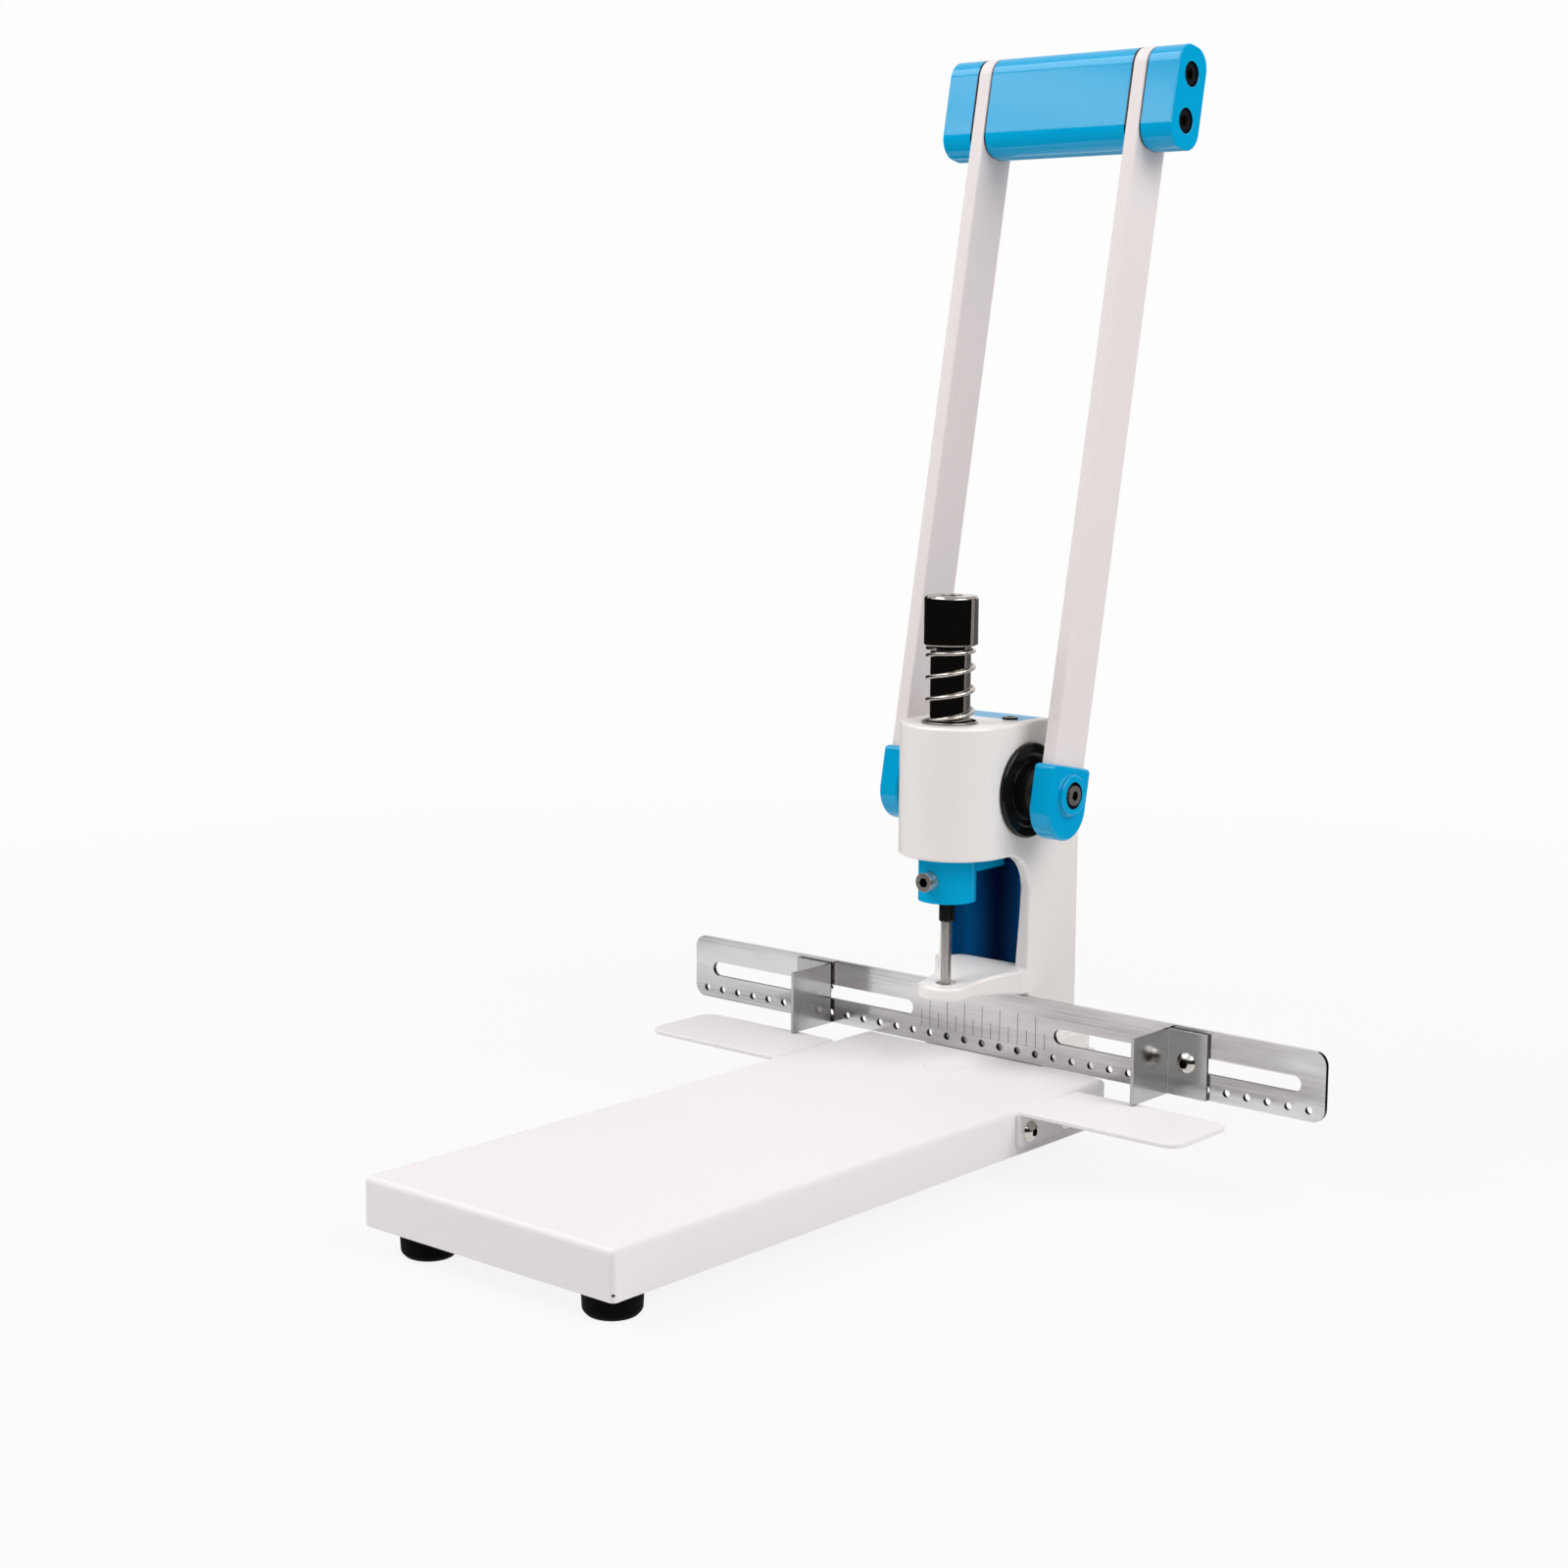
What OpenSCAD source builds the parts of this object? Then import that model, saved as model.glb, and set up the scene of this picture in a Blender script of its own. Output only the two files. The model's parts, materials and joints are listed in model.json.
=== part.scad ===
// Single hole punch: a lever drives a rack and pinion that pushes one punch pin down
// through a stripper tongue onto a flat base, with a ruler fence and two sliding stops.
// Lengths are millimetres. Inside the modules y = 0 is the ruler's front face and
// z = 0 is the top of the base; place() moves that to the middle of the footprint, on the ground.

/* [Base] */
// Width of the base pan across its sides
base_w = 135.6; // [124:0.2:150]
// Length of the base pan from its front edge to the ruler
base_len = 312; // [250:1:360]
// Height of the base pan
base_h = 20; // [18:1:26]
// Thickness of the pan's steel sheet
sheet_t = 1.5; // [1:0.1:2]
// Outer radius of the pan's folded edges and front corners
fold_r = 2.5; // [2:0.5:5]
// Width of the lip that is folded in under the pan
lip_w = 25; // [24:0.5:28]
// Width of the neck behind the ruler that carries the column
neck_w = 66; // [62:1:76]
// Length of the neck behind the ruler
neck_len = 44; // [42:1:52]
// Diameter of a rubber foot where it meets the pan
foot_d = 23.4; // [18:0.2:24]
// Height of a rubber foot
foot_h = 10; // [8:0.5:14]
// Distance from the pan's edges to the middle of a foot
foot_in = 13.4; // [12.4:0.2:14]
// How far the front left foot stands in from its corner
foot_shift = 10; // [0:0.5:12]
// Diameter of the relief hole low in a front corner of the pan
relief_d = 1.4; // [0.8:0.1:2]
// Height of the relief hole above the pan's lower edge
relief_up = 2.7; // [2.5:0.1:5]
// Thickness of the anvil plate under the pan's top
anvil_t = 5; // [4:0.5:7]
// How far the anvil plate reaches in front of the ruler
anvil_reach = 60; // [45:1:80]
// Diameter of the round cutting pad under the punch
pad_d = 18; // [12:0.5:24]
// Depth of the pad's pocket in the anvil plate
pad_seat = 2.5; // [1.5:0.5:3.5]

/* [Side wings] */
// How far a wing reaches out from the pan's side
wing_len = 79.8; // [60:0.2:100]
// Width of a wing from front to back
wing_w = 43; // [34:1:50]
// Distance from the ruler's face to a wing's rear edge
wing_setback = 24; // [18:1:34]
// Thickness of a wing's sheet
wing_t = 2; // [1.5:0.1:3]
// Radius of a wing's outer corners
wing_r = 8; // [4:0.5:14]
// Height of a wing's screwed flange
wing_drop = 16.5; // [15.5:0.5:17.5]
// Height of a wing's screws above its flange's lower edge
wing_screw_up = 6.1; // [5.5:0.1:7.5]
// Distance from a wing's front and rear edges to its screws
wing_screw_in = 8; // [7:0.5:11]

/* [Ruler and stops] */
// Length of the ruler
ruler_len = 355; // [340:1:390]
// Height of the ruler
ruler_h = 30.6; // [27:0.2:34]
// Gap between the base and the ruler
ruler_lift = 0.4; // [0.2:0.1:1]
// Thickness of the ruler
ruler_t = 2; // [1.5:0.1:3]
// Corner radius of the ruler
ruler_r = 6; // [3:0.5:9]
// Height of the slots' middle above the base
slot_z = 15.4; // [14:0.2:17]
// Height of a slot
slot_h = 7; // [6.6:0.1:8]
// Distance from the middle to the inner end of a slot
slot_in = 40; // [38:1:50]
// Distance from the middle to the outer end of a slot
slot_out = 166; // [150:1:168]
// Number of index holes along the ruler
index_count = 35; // [15:2:35]
// Spacing of the index holes
index_pitch = 10; // [5:1:10]
// Diameter of an index hole
index_d = 3.5; // [2:0.1:4]
// Height of the index holes above the base
index_z = 5.1; // [4:0.1:6]
// Thickness of a stop's sheet
stop_t = 1.5; // [1.2:0.1:2.5]
// Height of a stop
stop_h = 29.2; // [24:0.2:32]
// How far a stop reaches forward from the ruler
stop_reach = 29; // [18:1:36]
// Length of a stop's leg along the ruler
stop_leg = 21; // [20:1:26]
// Place of the right stop's fence along the ruler
stop_right = 100; // [70:1:125]
// Place of the left stop's fence along the ruler
stop_left = 89; // [70:1:125]
// Diameter of a stop's screw
stop_screw_d = 6; // [5:0.1:6.2]

/* [Column] */
// Width of the column and head
col_w = 50; // [48:0.5:56]
// Thickness of the column's cheeks
cheek_t = 5.5; // [4.5:0.25:6.5]
// Depth of the column behind the ruler
col_d = 36.6; // [34:0.2:39]
// How far the cheeks stand in front of the ruler's face above it
cheek_step = 0; // [0:0.2:2]
// Distance from the ruler's face to the punch axis
punch_reach = 28; // [26:0.5:31]
// Distance from the punch axis to the head's front
head_nose = 20.2; // [19:0.2:25]
// Radius of the throat's upper corner
throat_r = 16; // [6:1:18]
// Clear height of the throat at the column
throat_h = 53; // [48:0.5:60]
// Height of the head
head_h = 59.5; // [57:0.5:66]
// Height of the lever's axis above the head's underside
pivot_up = 29; // [28:0.5:30]
// Radius of the head's rear upper corner
crown_r = 26; // [22:1:27]
// Thickness of the web that closes the column behind the ruler
web_t = 6; // [5:0.5:8]
// Width of the column's foot flange
flange_w = 62; // [56:1:64]
// Thickness of the column's foot flange
flange_t = 9; // [6:0.5:12]
// Gap between the ruler's top and the tongue
tongue_gap = 1.3; // [0.3:0.1:2]
// Thickness of the tongue at its nose
tongue_t = 6.1; // [5:0.1:9]
// Rise of the tongue's top from its nose to the column
tongue_rise = 5.6; // [2:0.2:8]
// Radius of the tongue's nose
nose_r = 12.5; // [10:0.5:14]
// Radius of the tongue's flare into the cheeks
flare_r = 26; // [16:0.5:26]
// Diameter of the tongue's pin hole
tongue_hole_d = 9; // [8.4:0.2:11]
// Thickness of the blue covers
cover_t = 2.5; // [2:0.25:3]
// Distance from the ruler's face to the throat liner
liner_y = 5; // [4.4:0.2:5.4]
// Thickness of the throat liner's back
liner_t = 3; // [2:0.25:3.25]
// Thickness of the throat liner's side flanges
liner_flange = 1.5; // [1:0.25:2.5]
// Inside radius of the throat liner's corners
liner_r = 3; // [1:0.5:4]

/* [Drive] */
// Module of the rack and pinion teeth
gear_module = 1.5; // [1.4:0.05:1.5]
// Number of teeth on the pinion
pinion_teeth = 24; // [23:1:24]
// Distance from the punch axis to the rack's pitch line
rack_offset = 7.4; // [7:0.1:7.6]
// Play between the teeth
backlash = 0.3; // [0.2:0.05:0.5]
// Width of the pinion
pinion_w = 16; // [13:0.5:17]
// Diameter of the lever shaft
shaft_d = 14; // [11:0.5:15]
// Diameter of a bearing's flange
bearing_d = 43; // [42.4:0.2:46]
// Thickness of a bearing's flange
bearing_t = 2.5; // [2:0.25:4]
// Diameter of a bearing's hub
hub_d = 26; // [20:0.5:30]
// Travel of the ram
stroke = 32; // [26:0.5:32]

/* [Ram and punch] */
// Diameter of the ram
ram_d = 18; // [17:0.2:18.6]
// Diameter of the ram's chrome cap
cap_d = 24; // [23.8:0.2:28]
// Height of the ram's cap
cap_h = 22; // [20:0.5:28]
// Diameter of the spring's wire
wire_d = 1.8; // [1.4:0.1:1.8]
// Number of open coils of the spring
open_coils = 4; // [3:0.5:4]
// Inner diameter of the spring's seat cup
cup_d = 23.4; // [23.4:0.1:24]
// Depth of the spring's seat in the head
cup_depth = 11; // [10.8:0.2:11.4]
// Diameter of the punch holder
holder_d = 26; // [24:0.5:28]
// Height of the punch holder
holder_h = 20; // [18:0.5:22]
// Width of the holder's guide tail
tail_w = 15; // [10:0.5:18]
// Height of the holder's guide tail
tail_h = 8; // [6:0.5:10]
// Diameter of the punch's black collar
collar_d = 7; // [6.4:0.1:7.4]
// Height of the collar below the holder
collar_h = 10; // [6:0.5:14]
// Diameter of the punch pin
pin_d = 4.7; // [3:0.1:5.4]

/* [Lever] */
// Backward lean of the lever at rest
lean = 10.95; // [0:0.05:20]
// Distance from the lever's axis to the middle of the grip
lever_len = 308.6; // [240:0.2:340]
// Width of an arm
arm_w = 23; // [20:0.5:25]
// Thickness of an arm
arm_t = 7; // [6:0.5:9]
// Clear distance between the arms
arm_gap = 77; // [72:0.5:90]
// Height of the grip along the arms
grip_h = 45.5; // [40:0.5:56]
// Corner radius of the grip
grip_r = 9.5; // [6:0.25:9.75]
// Length of a grip end cap
end_cap_len = 16.5; // [13:0.5:22]
// Spacing of the two bolts in a grip end cap
bolt_span = 20.5; // [18:0.5:24]
// Width of an arm boot
boot_w = 29; // [28:0.5:34]
// How far a boot reaches above the lever's axis
boot_up = 12.5; // [11:0.5:20]
// How far the middle of a boot's round end lies below the lever's axis
boot_drop = 6; // [2:0.5:10]
// Wall thickness of a boot beside the arm
boot_wall = 2; // [1.5:0.1:3]
// Diameter of a boot's screw boss
boss_d = 18; // [16:0.5:22]
// Height of a boot's screw boss
boss_h = 2.5; // [2:0.25:4]

/* [Hidden] */
$fn = 64;

// Clearances: a running fit, a fixed seat, and a gap between pieces that pass each other
run = 0.05;
seat = 0.1;
pass = 0.3;
// Length added so that a cut passes right through
over = 1;

// Heights above the base's top
tongue_z = ruler_lift + ruler_h + tongue_gap;
tongue_top = tongue_z + tongue_t;
floor_z = tongue_top + tongue_rise;
head_z = floor_z + throat_h;
head_top = head_z + head_h;
pivot_z = head_z + pivot_up;
holder_top = head_z - pass;
holder_z = holder_top - holder_h;
collar_z = holder_z - collar_h;
pin_z = stroke + pass;
cup_rim = 1;
cup_floor = 2.5;
cup_wall = 0.8;
cup_z = head_top - cup_depth - cup_floor;
cap_room = 1.5;
cap_z = head_top + cup_rim + stroke + cap_room;

// Depths from the ruler's front face, backwards positive
punch_y = -punch_reach;
col_y = ruler_t;
rear_y = ruler_t + col_d;
web_y = ruler_t + web_t;
cheek_y = -cheek_step;
half_w = col_w / 2;
inner_w = half_w - cheek_t;
head_y = punch_y - head_nose + half_w;
lip_y = -2;

// Rack and pinion
pitch_r = gear_module * pinion_teeth / 2;
tip_h = 0.9 * gear_module;
root_h = 1.25 * gear_module;
tooth_pitch = PI * gear_module;
pressure = 20;
base_r = pitch_r * cos(pressure);
pivot_y = punch_y + rack_offset + pitch_r;
chamber_r = pitch_r + tip_h + 0.65;
hub_groove = 3;
teeth_below = 2;
teeth_above = ceil(stroke / tooth_pitch) + 2;

// Screws: radius, head radius and head height
m4 = [2, 3.8, 2.6];
m5 = [2.5, 4.75, 2.8];
m6 = [3, 5, 5];
m5_socket = [4.4, 4, 2.3];
m6_hex = 2.6;
low_head_r = 3.5;
low_head_h = 1;
low_head_hex = 1.6;
m4_nut = [7, 3.2];
m6_nut = [10, 4.5];
screw_end = 5;
frame_bolt_x = 11;
frame_bolt_in = 6;
frame_bolt_run = 16;
frame_bolt_y = [web_y + frame_bolt_in, web_y + frame_bolt_in + frame_bolt_run];
foot_x = [base_w / 2 - foot_in, neck_w / 2 - foot_in];
foot_y = [-base_len + foot_in, neck_len - foot_in];
foot_recess_r = 4.6;
foot_recess_h = 5;
foot_screw_in = 4.5;
wing_screw_y = [wing_screw_in, wing_w - wing_screw_in];
wing_screw_z = wing_screw_up - wing_drop;
wing_bend = 0.5;
wing_corner = 2.5;
stud_x = 14;
stud_z = 22;
stud_r = 2;
cover_boss = 8;
cover_boss_len = 12;
cover_screw_in = 8;
cover_boss_root = 0.5;
cover_x = inner_w - cover_boss / 2 + cover_boss_root;
cover_screw_up = 13;
cover_screw_down = 6;
cover_z = [flange_t + cover_screw_up, head_z - cover_screw_down];
lip_screw_x = 13;
lip_screw_y = lip_y + 1.5;
top_plate = 4;
bush_t = 2;
bush_h = 12;
liner_in = 1;
liner_back = 0.5;

// Lever
arm_x = arm_gap / 2;
arm_out = arm_x + arm_t;
boot_x = arm_x - boot_wall;
boot_out = arm_out + boot_wall;
boss_out = boot_out + boss_h;
grip_end = arm_out + end_cap_len;
grip_top = lever_len + grip_h / 2;
grip_wall = 2.5;
bolt_head_r = 5.5;
grip_bolt_in = 18;
boot_head_r = 6;
boot_seat = 1;
boot_screw_len = 13;

// Spring: six-sided wire, eight rings to a turn, with one closed coil at each end
ring_steps = 8;
wire_sides = 6;
wire_flat = wire_d / 2 * cos(180 / wire_sides);
spring_r = (ram_d / 2 + run * 3 + wire_flat) / cos(180 / ring_steps);
end_pitch = wire_d + 0.6;
spring_z = cup_z + cup_floor + seat;
spring_h = cap_z - spring_z - seat;
open_pitch = (spring_h - wire_d - 2 * end_pitch) / open_coils;
coils = open_coils + 2;
coil_start = -87;

// Footprint and the origin's place in it
grip_corner = [arm_w / 2 - grip_r, lever_len + grip_h / 2 - grip_r];
grip_reach = grip_corner[0] * cos(lean) + grip_corner[1] * sin(lean) + grip_r;
mid_y = (pivot_y + grip_reach - base_len) / 2;
ground = base_h + foot_h;

white = [0.93, 0.92, 0.91];
cream = [0.92, 0.91, 0.88];
blue = [0.02, 0.6, 0.85];
black = [0.05, 0.05, 0.05];
steel = [0.75, 0.75, 0.76];
chrome = [0.35, 0.33, 0.32];

module place() translate([0, -mid_y, ground]) children();

module lever_place() place() translate([0, pivot_y, pivot_z]) rotate([-lean, 0, 0]) children();

// Extrudes an outline drawn in (y, z) along X
module across(x0, x1) translate([x0, 0, 0]) rotate([90, 0, 90]) linear_extrude(x1 - x0) children();

// Extrudes an outline drawn in (x, z) along Y
module along(y0, y1) translate([0, y1, 0]) rotate([90, 0, 0]) linear_extrude(y1 - y0) children();

// A round bar along X, Y or Z between two places
module bar_x(r, x0, x1) translate([x0, 0, 0]) rotate([0, 90, 0]) cylinder(r = r, h = x1 - x0);
module bar_y(r, y0, y1) translate([0, y1, 0]) rotate([90, 0, 0]) cylinder(r = r, h = y1 - y0);
module bar_z(r, z0, z1) translate([0, 0, z0]) cylinder(r = r, h = z1 - z0);

module block(x0, x1, y0, y1, z0, z1) translate([x0, y0, z0]) cube([x1 - x0, y1 - y0, z1 - z0]);

module round_rect(x0, x1, y0, y1, r) {
    translate([x0 + r, y0]) square([x1 - x0 - 2 * r, y1 - y0]);
    translate([x0, y0 + r]) square([x1 - x0, y1 - y0 - 2 * r]);
    for (x = [x0 + r, x1 - r], y = [y0 + r, y1 - r]) translate([x, y]) circle(r);
}

// The inside of a fillet between two square edges that run to +x and +y
module corner(r) difference() {
    square(r);
    translate([r, r]) circle(r);
}

// A socket screw along +Z from its seat at z = 0: head above, shank below
module socket_screw(size, length, head_h, hex) {
    difference() {
        bar_z(size[1], 0, head_h);
        translate([0, 0, head_h * 0.4]) cylinder(r = hex, h = head_h, $fn = 6);
    }
    bar_z(size[0], -length, 0);
}

// A button head screw along +Z from its seat at z = 0
module button_screw(size, length) {
    dome_r = (size[1] * size[1] + size[2] * size[2]) / (2 * size[2]);
    difference() {
        intersection() {
            bar_z(size[1], 0, size[2]);
            translate([0, 0, size[2] - dome_r]) sphere(dome_r);
        }
        translate([0, 0, size[2] * 0.35]) cylinder(r = size[0] * 0.75, h = size[2], $fn = 6);
    }
    bar_z(size[0], -length, 0);
}

module hex_nut(r_bore, flats, h) difference() {
    cylinder(r = flats / 2 / cos(30), h = h, $fn = 6);
    translate([0, 0, -over]) cylinder(r = r_bore + run, h = h + 2 * over);
}

// A foot's place: i is 0 at the front and 1 at the back, side is -1 on the left and 1 on the right
function foot_place(side, i) = [side * foot_x[i] + (side < 0 && i == 0 ? foot_shift : 0), foot_y[i], 0];

module feet_places() for (i = [0, 1], side = [-1, 1]) translate(foot_place(side, i)) children();

module frame_bolt_places() for (x = [-1, 1], y = frame_bolt_y) translate([x * frame_bolt_x, y, 0]) children();

module wing_screw_places(side) for (y = wing_screw_y)
    translate([side * base_w / 2, -wing_setback - y, wing_screw_z]) rotate([0, side * 90, 0]) children();

// The pan's outer form, or its inside when it is drawn in by the sheet
module pan_form(inset) {
    w = base_w / 2 - inset;
    r = fold_r - inset;
    top = -inset;
    low = -base_h + inset;
    front = -base_len + inset;
    translate([0, 0, low]) linear_extrude(top - r - low) {
        translate([-w, front + r]) square([2 * w, -inset - front - r]);
        translate([r - w, front]) square([2 * (w - r), r]);
        for (side = [-1, 1]) translate([side * (w - r), front + r]) circle(r);
    }
    block(r - w, w - r, front + r, -inset, low, top);
    translate([0, front + r, top - r]) bar_x(r, r - w, w - r);
    for (side = [-1, 1]) translate([side * (w - r), 0, top - r]) {
        bar_y(r, front + r, -inset);
        translate([0, front + r, 0]) sphere(r);
    }
}

// Places low in the pan's front corners, along the corners' outward direction
module relief_places() for (side = [-1, 1])
    translate([side * (base_w / 2 - fold_r), fold_r - base_len, relief_up - base_h])
        rotate([0, 0, side * 45]) rotate([90, 0, 0]) children();

module neck_form(inset) block(-neck_w / 2 + inset, neck_w / 2 - inset, -lip_w, neck_len - inset,
    -base_h + inset, -inset);

module base_pan() color(white) place() difference() {
    union() {
        pan_form(0);
        neck_form(0);
    }
    pan_form(sheet_t);
    neck_form(sheet_t);
    translate([0, 0, -base_h - over]) linear_extrude(base_h / 2) {
        translate([lip_w - base_w / 2, lip_w - base_len]) square([base_w - 2 * lip_w, base_len - 2 * lip_w]);
        translate([lip_w - neck_w / 2, -lip_w - over]) square([neck_w - 2 * lip_w, neck_len + over]);
    }
    translate([0, punch_y, 0]) bar_z(pad_d / 2 + seat, -base_h / 2, over);
    frame_bolt_places() bar_z(m6[0] + seat, -base_h / 2, over);
    feet_places() bar_z(m4[0] + seat, -base_h - over, -base_h / 2);
    for (side = [-1, 1]) wing_screw_places(side) bar_z(m5[0] + seat, -sheet_t - over, over);
    relief_places() bar_z(relief_d / 2, 0, fold_r + over);
}

module anvil_plate() color(steel) place() difference() {
    block(-neck_w / 2 + sheet_t + seat, neck_w / 2 - sheet_t - seat, -anvil_reach, neck_len - sheet_t - seat,
        -sheet_t - anvil_t, -sheet_t);
    translate([0, punch_y, 0]) bar_z(pad_d / 2 + seat, -sheet_t - pad_seat, over);
    frame_bolt_places() bar_z(m6[0] + run, -sheet_t - anvil_t - over, over);
}

module cutting_pad() color(white) place() translate([0, punch_y, 0]) bar_z(pad_d / 2, -sheet_t - pad_seat, 0);

module foot() color(black) translate([0, 0, -ground]) rotate_extrude() polygon([
    [m4[0] + seat, foot_h], [foot_d / 2, foot_h], [foot_d / 2 - 0.4, 2.2], [foot_d / 2 - 2.4, 0],
    [foot_recess_r, 0], [foot_recess_r, foot_recess_h], [m4[0] + seat, foot_recess_h]]);

module foot_at(side, i) place() translate(foot_place(side, i)) foot();

module foot_screws() color(steel) place() feet_places() translate([0, 0, -ground + foot_recess_h])
    rotate([180, 0, 0]) button_screw(m4, foot_h - foot_recess_h + sheet_t + foot_screw_in);

module foot_nuts() color(steel) place() feet_places() translate([0, 0, -base_h + sheet_t])
    hex_nut(m4[0], m4_nut[0], m4_nut[1]);

// A wing on the right side: a flat plate, a round fold and a screwed flange
module wing_form() {
    bend = wing_t + wing_bend;
    back = -wing_setback;
    front = back - wing_w;
    edge = base_w / 2;
    tip = edge + wing_len;
    translate([0, 0, -wing_t]) linear_extrude(wing_t) {
        translate([edge + bend, front]) square([wing_len - bend - wing_r, wing_w]);
        translate([edge + bend, front + wing_r]) square([wing_len - bend, wing_w - 2 * wing_r]);
        for (y = [front + wing_r, back - wing_r]) translate([tip - wing_r, y]) circle(wing_r);
    }
    intersection() {
        translate([edge + bend, 0, -bend]) difference() {
            bar_y(bend, front, back);
            bar_y(bend - wing_t, front - over, back + over);
        }
        block(edge, edge + bend, front, back, -bend, 0);
    }
    difference() {
        block(edge, edge + wing_t, front, back, -wing_drop, -bend);
        wing_screw_places(1) bar_z(m5[0] + seat, -over, wing_t + over);
        for (y = [front, back]) translate([0, y, -wing_drop]) mirror([0, y == back ? 1 : 0, 0])
            across(edge - over, edge + wing_t + over) corner(wing_corner);
    }
}

module wing_left() color(white) place() mirror([1, 0, 0]) wing_form();

module wing_right() color(white) place() wing_form();

module wing_screws() color(steel) place() for (side = [-1, 1]) wing_screw_places(side)
    translate([0, 0, wing_t]) button_screw(m5, wing_t + sheet_t + screw_end);

// The outline of the back cover in (y, z): a lip on the head, a round crown and a back plate
module cover_outline(t) {
    lip_end = rear_y - crown_r;
    crown_z = head_top - crown_r;
    translate([lip_y, head_top - t]) square([lip_end - lip_y, t]);
    translate([rear_y - t, flange_t + pass]) square([t, crown_z - flange_t - pass]);
    intersection() {
        translate([lip_end, crown_z]) difference() {
            circle(crown_r);
            circle(crown_r - t);
        }
        translate([lip_end, crown_z]) square(crown_r + over);
    }
}

// The column and head seen from the side, in (y, z)
module side_outline() difference() {
    union() {
        translate([col_y, 0]) square([rear_y - col_y, head_top]);
        translate([cheek_y, tongue_z]) square([rear_y - cheek_y, head_z - tongue_z]);
        translate([head_y, head_z]) square([rear_y - head_y, head_h]);
        translate([cheek_y, head_z]) rotate(180) corner(throat_r);
    }
    translate([rear_y, head_top]) rotate(180) corner(crown_r);
}

// The tongue seen from above
module tongue_plan() {
    translate([0, punch_y]) circle(nose_r);
    translate([-nose_r, punch_y]) square([2 * nose_r, web_y - punch_y]);
    for (side = [0, 1]) mirror([side, 0]) intersection() {
        translate([nose_r, cheek_y]) mirror([0, 1]) corner(flare_r);
        translate([0, cheek_y - flare_r]) square([half_w, flare_r]);
    }
}

module tongue() intersection() {
    translate([0, 0, tongue_z]) linear_extrude(floor_z - tongue_z) tongue_plan();
    across(-half_w - over, half_w + over) polygon([[punch_y - nose_r - over, tongue_z], [web_y, tongue_z],
        [web_y, floor_z], [cheek_y, floor_z], [punch_y, tongue_top], [punch_y - nose_r - over, tongue_top]]);
}

module cover_screw_places() for (side = [-1, 1], z = cover_z)
    translate([side * cover_x, rear_y, z]) rotate([-90, 0, 0]) children();

module lip_screw_places() for (x = [-lip_screw_x, lip_screw_x])
    translate([x, lip_screw_y, head_top]) children();

// The liner's back, which stands in a slot in the cheeks
module liner_slot(extra) {
    half = inner_w + liner_in + extra;
    block(-half, half, liner_y, liner_y + liner_t, floor_z, head_z);
}

module c_frame() color(cream) place() difference() {
    union() {
        difference() {
            union() {
                across(-half_w, half_w) side_outline();
                translate([0, head_y, 0]) bar_z(half_w, head_z, head_top);
            }
            block(-inner_w, inner_w, web_y, rear_y + over, flange_t, head_top - cover_t - top_plate);
            block(-inner_w, inner_w, cheek_y - throat_r - over, web_y + over, floor_z, head_z);
            block(-inner_w, inner_w, rear_y - crown_r + over, rear_y + over, head_z + over, head_top + over);
            across(-inner_w, inner_w) cover_outline(cover_t);
        }
        tongue();
        block(-flange_w / 2, flange_w / 2, col_y, neck_len - over, 0, flange_t);
        for (side = [-1, 1], z = cover_z) translate([side * cover_x, 0, z])
            block(-cover_boss / 2, cover_boss / 2, rear_y - cover_t - cover_boss_len, rear_y - cover_t,
                -cover_boss / 2, cover_boss / 2);
    }
    liner_slot(seat);
    translate([0, punch_y, 0]) {
        bar_z(tongue_hole_d / 2, tongue_z - over, floor_z + over);
        bar_z(ram_d / 2 + 0.6, head_z - over, head_top + over);
        bar_z(ram_d / 2 + bush_t + seat, head_z - over, head_z + bush_h);
        bar_z(cup_d / 2 + cup_wall + seat, cup_z, head_top + over);
    }
    translate([0, pivot_y, pivot_z]) bar_x(chamber_r, -half_w - over, half_w + over);
    frame_bolt_places() bar_z(m6[0] + seat, -over, flange_t + over);
    for (x = [-stud_x, stud_x]) translate([x, 0, stud_z]) bar_y(stud_r + seat, 0, web_y + over);
    cover_screw_places() bar_z(m4[0] + run, -cover_t - cover_boss_len - over, over);
    lip_screw_places() bar_z(m4[0] + run, -cover_t - top_plate - over, over);
}

module frame_bolts() color(black) place() frame_bolt_places() translate([0, 0, flange_t])
    socket_screw(m6, flange_t + sheet_t + anvil_t, m6[2], m6_hex);

module ruler() color(steel) place() difference() {
    along(0, ruler_t) difference() {
        round_rect(-ruler_len / 2, ruler_len / 2, ruler_lift, ruler_lift + ruler_h, ruler_r);
        for (side = [0, 1]) mirror([side, 0]) {
            translate([slot_in + slot_h / 2, slot_z - slot_h / 2])
                square([slot_out - slot_in - slot_h, slot_h]);
            for (x = [slot_in + slot_h / 2, slot_out - slot_h / 2]) translate([x, slot_z]) circle(slot_h / 2);
        }
    }
    for (i = [0 : index_count - 1]) translate([(i - (index_count - 1) / 2) * index_pitch, 0, index_z])
        bar_y(index_d / 2, -over, ruler_t + over);
}

module ruler_studs() color(steel) place() for (x = [-stud_x, stud_x]) translate([x, 0, stud_z])
    bar_y(stud_r, ruler_t, web_y + screw_end);

module ruler_nuts() color(steel) place() for (x = [-stud_x, stud_x]) translate([x, web_y, stud_z])
    rotate([-90, 0, 0]) hex_nut(stud_r, m4_nut[0], m4_nut[1]);

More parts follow.
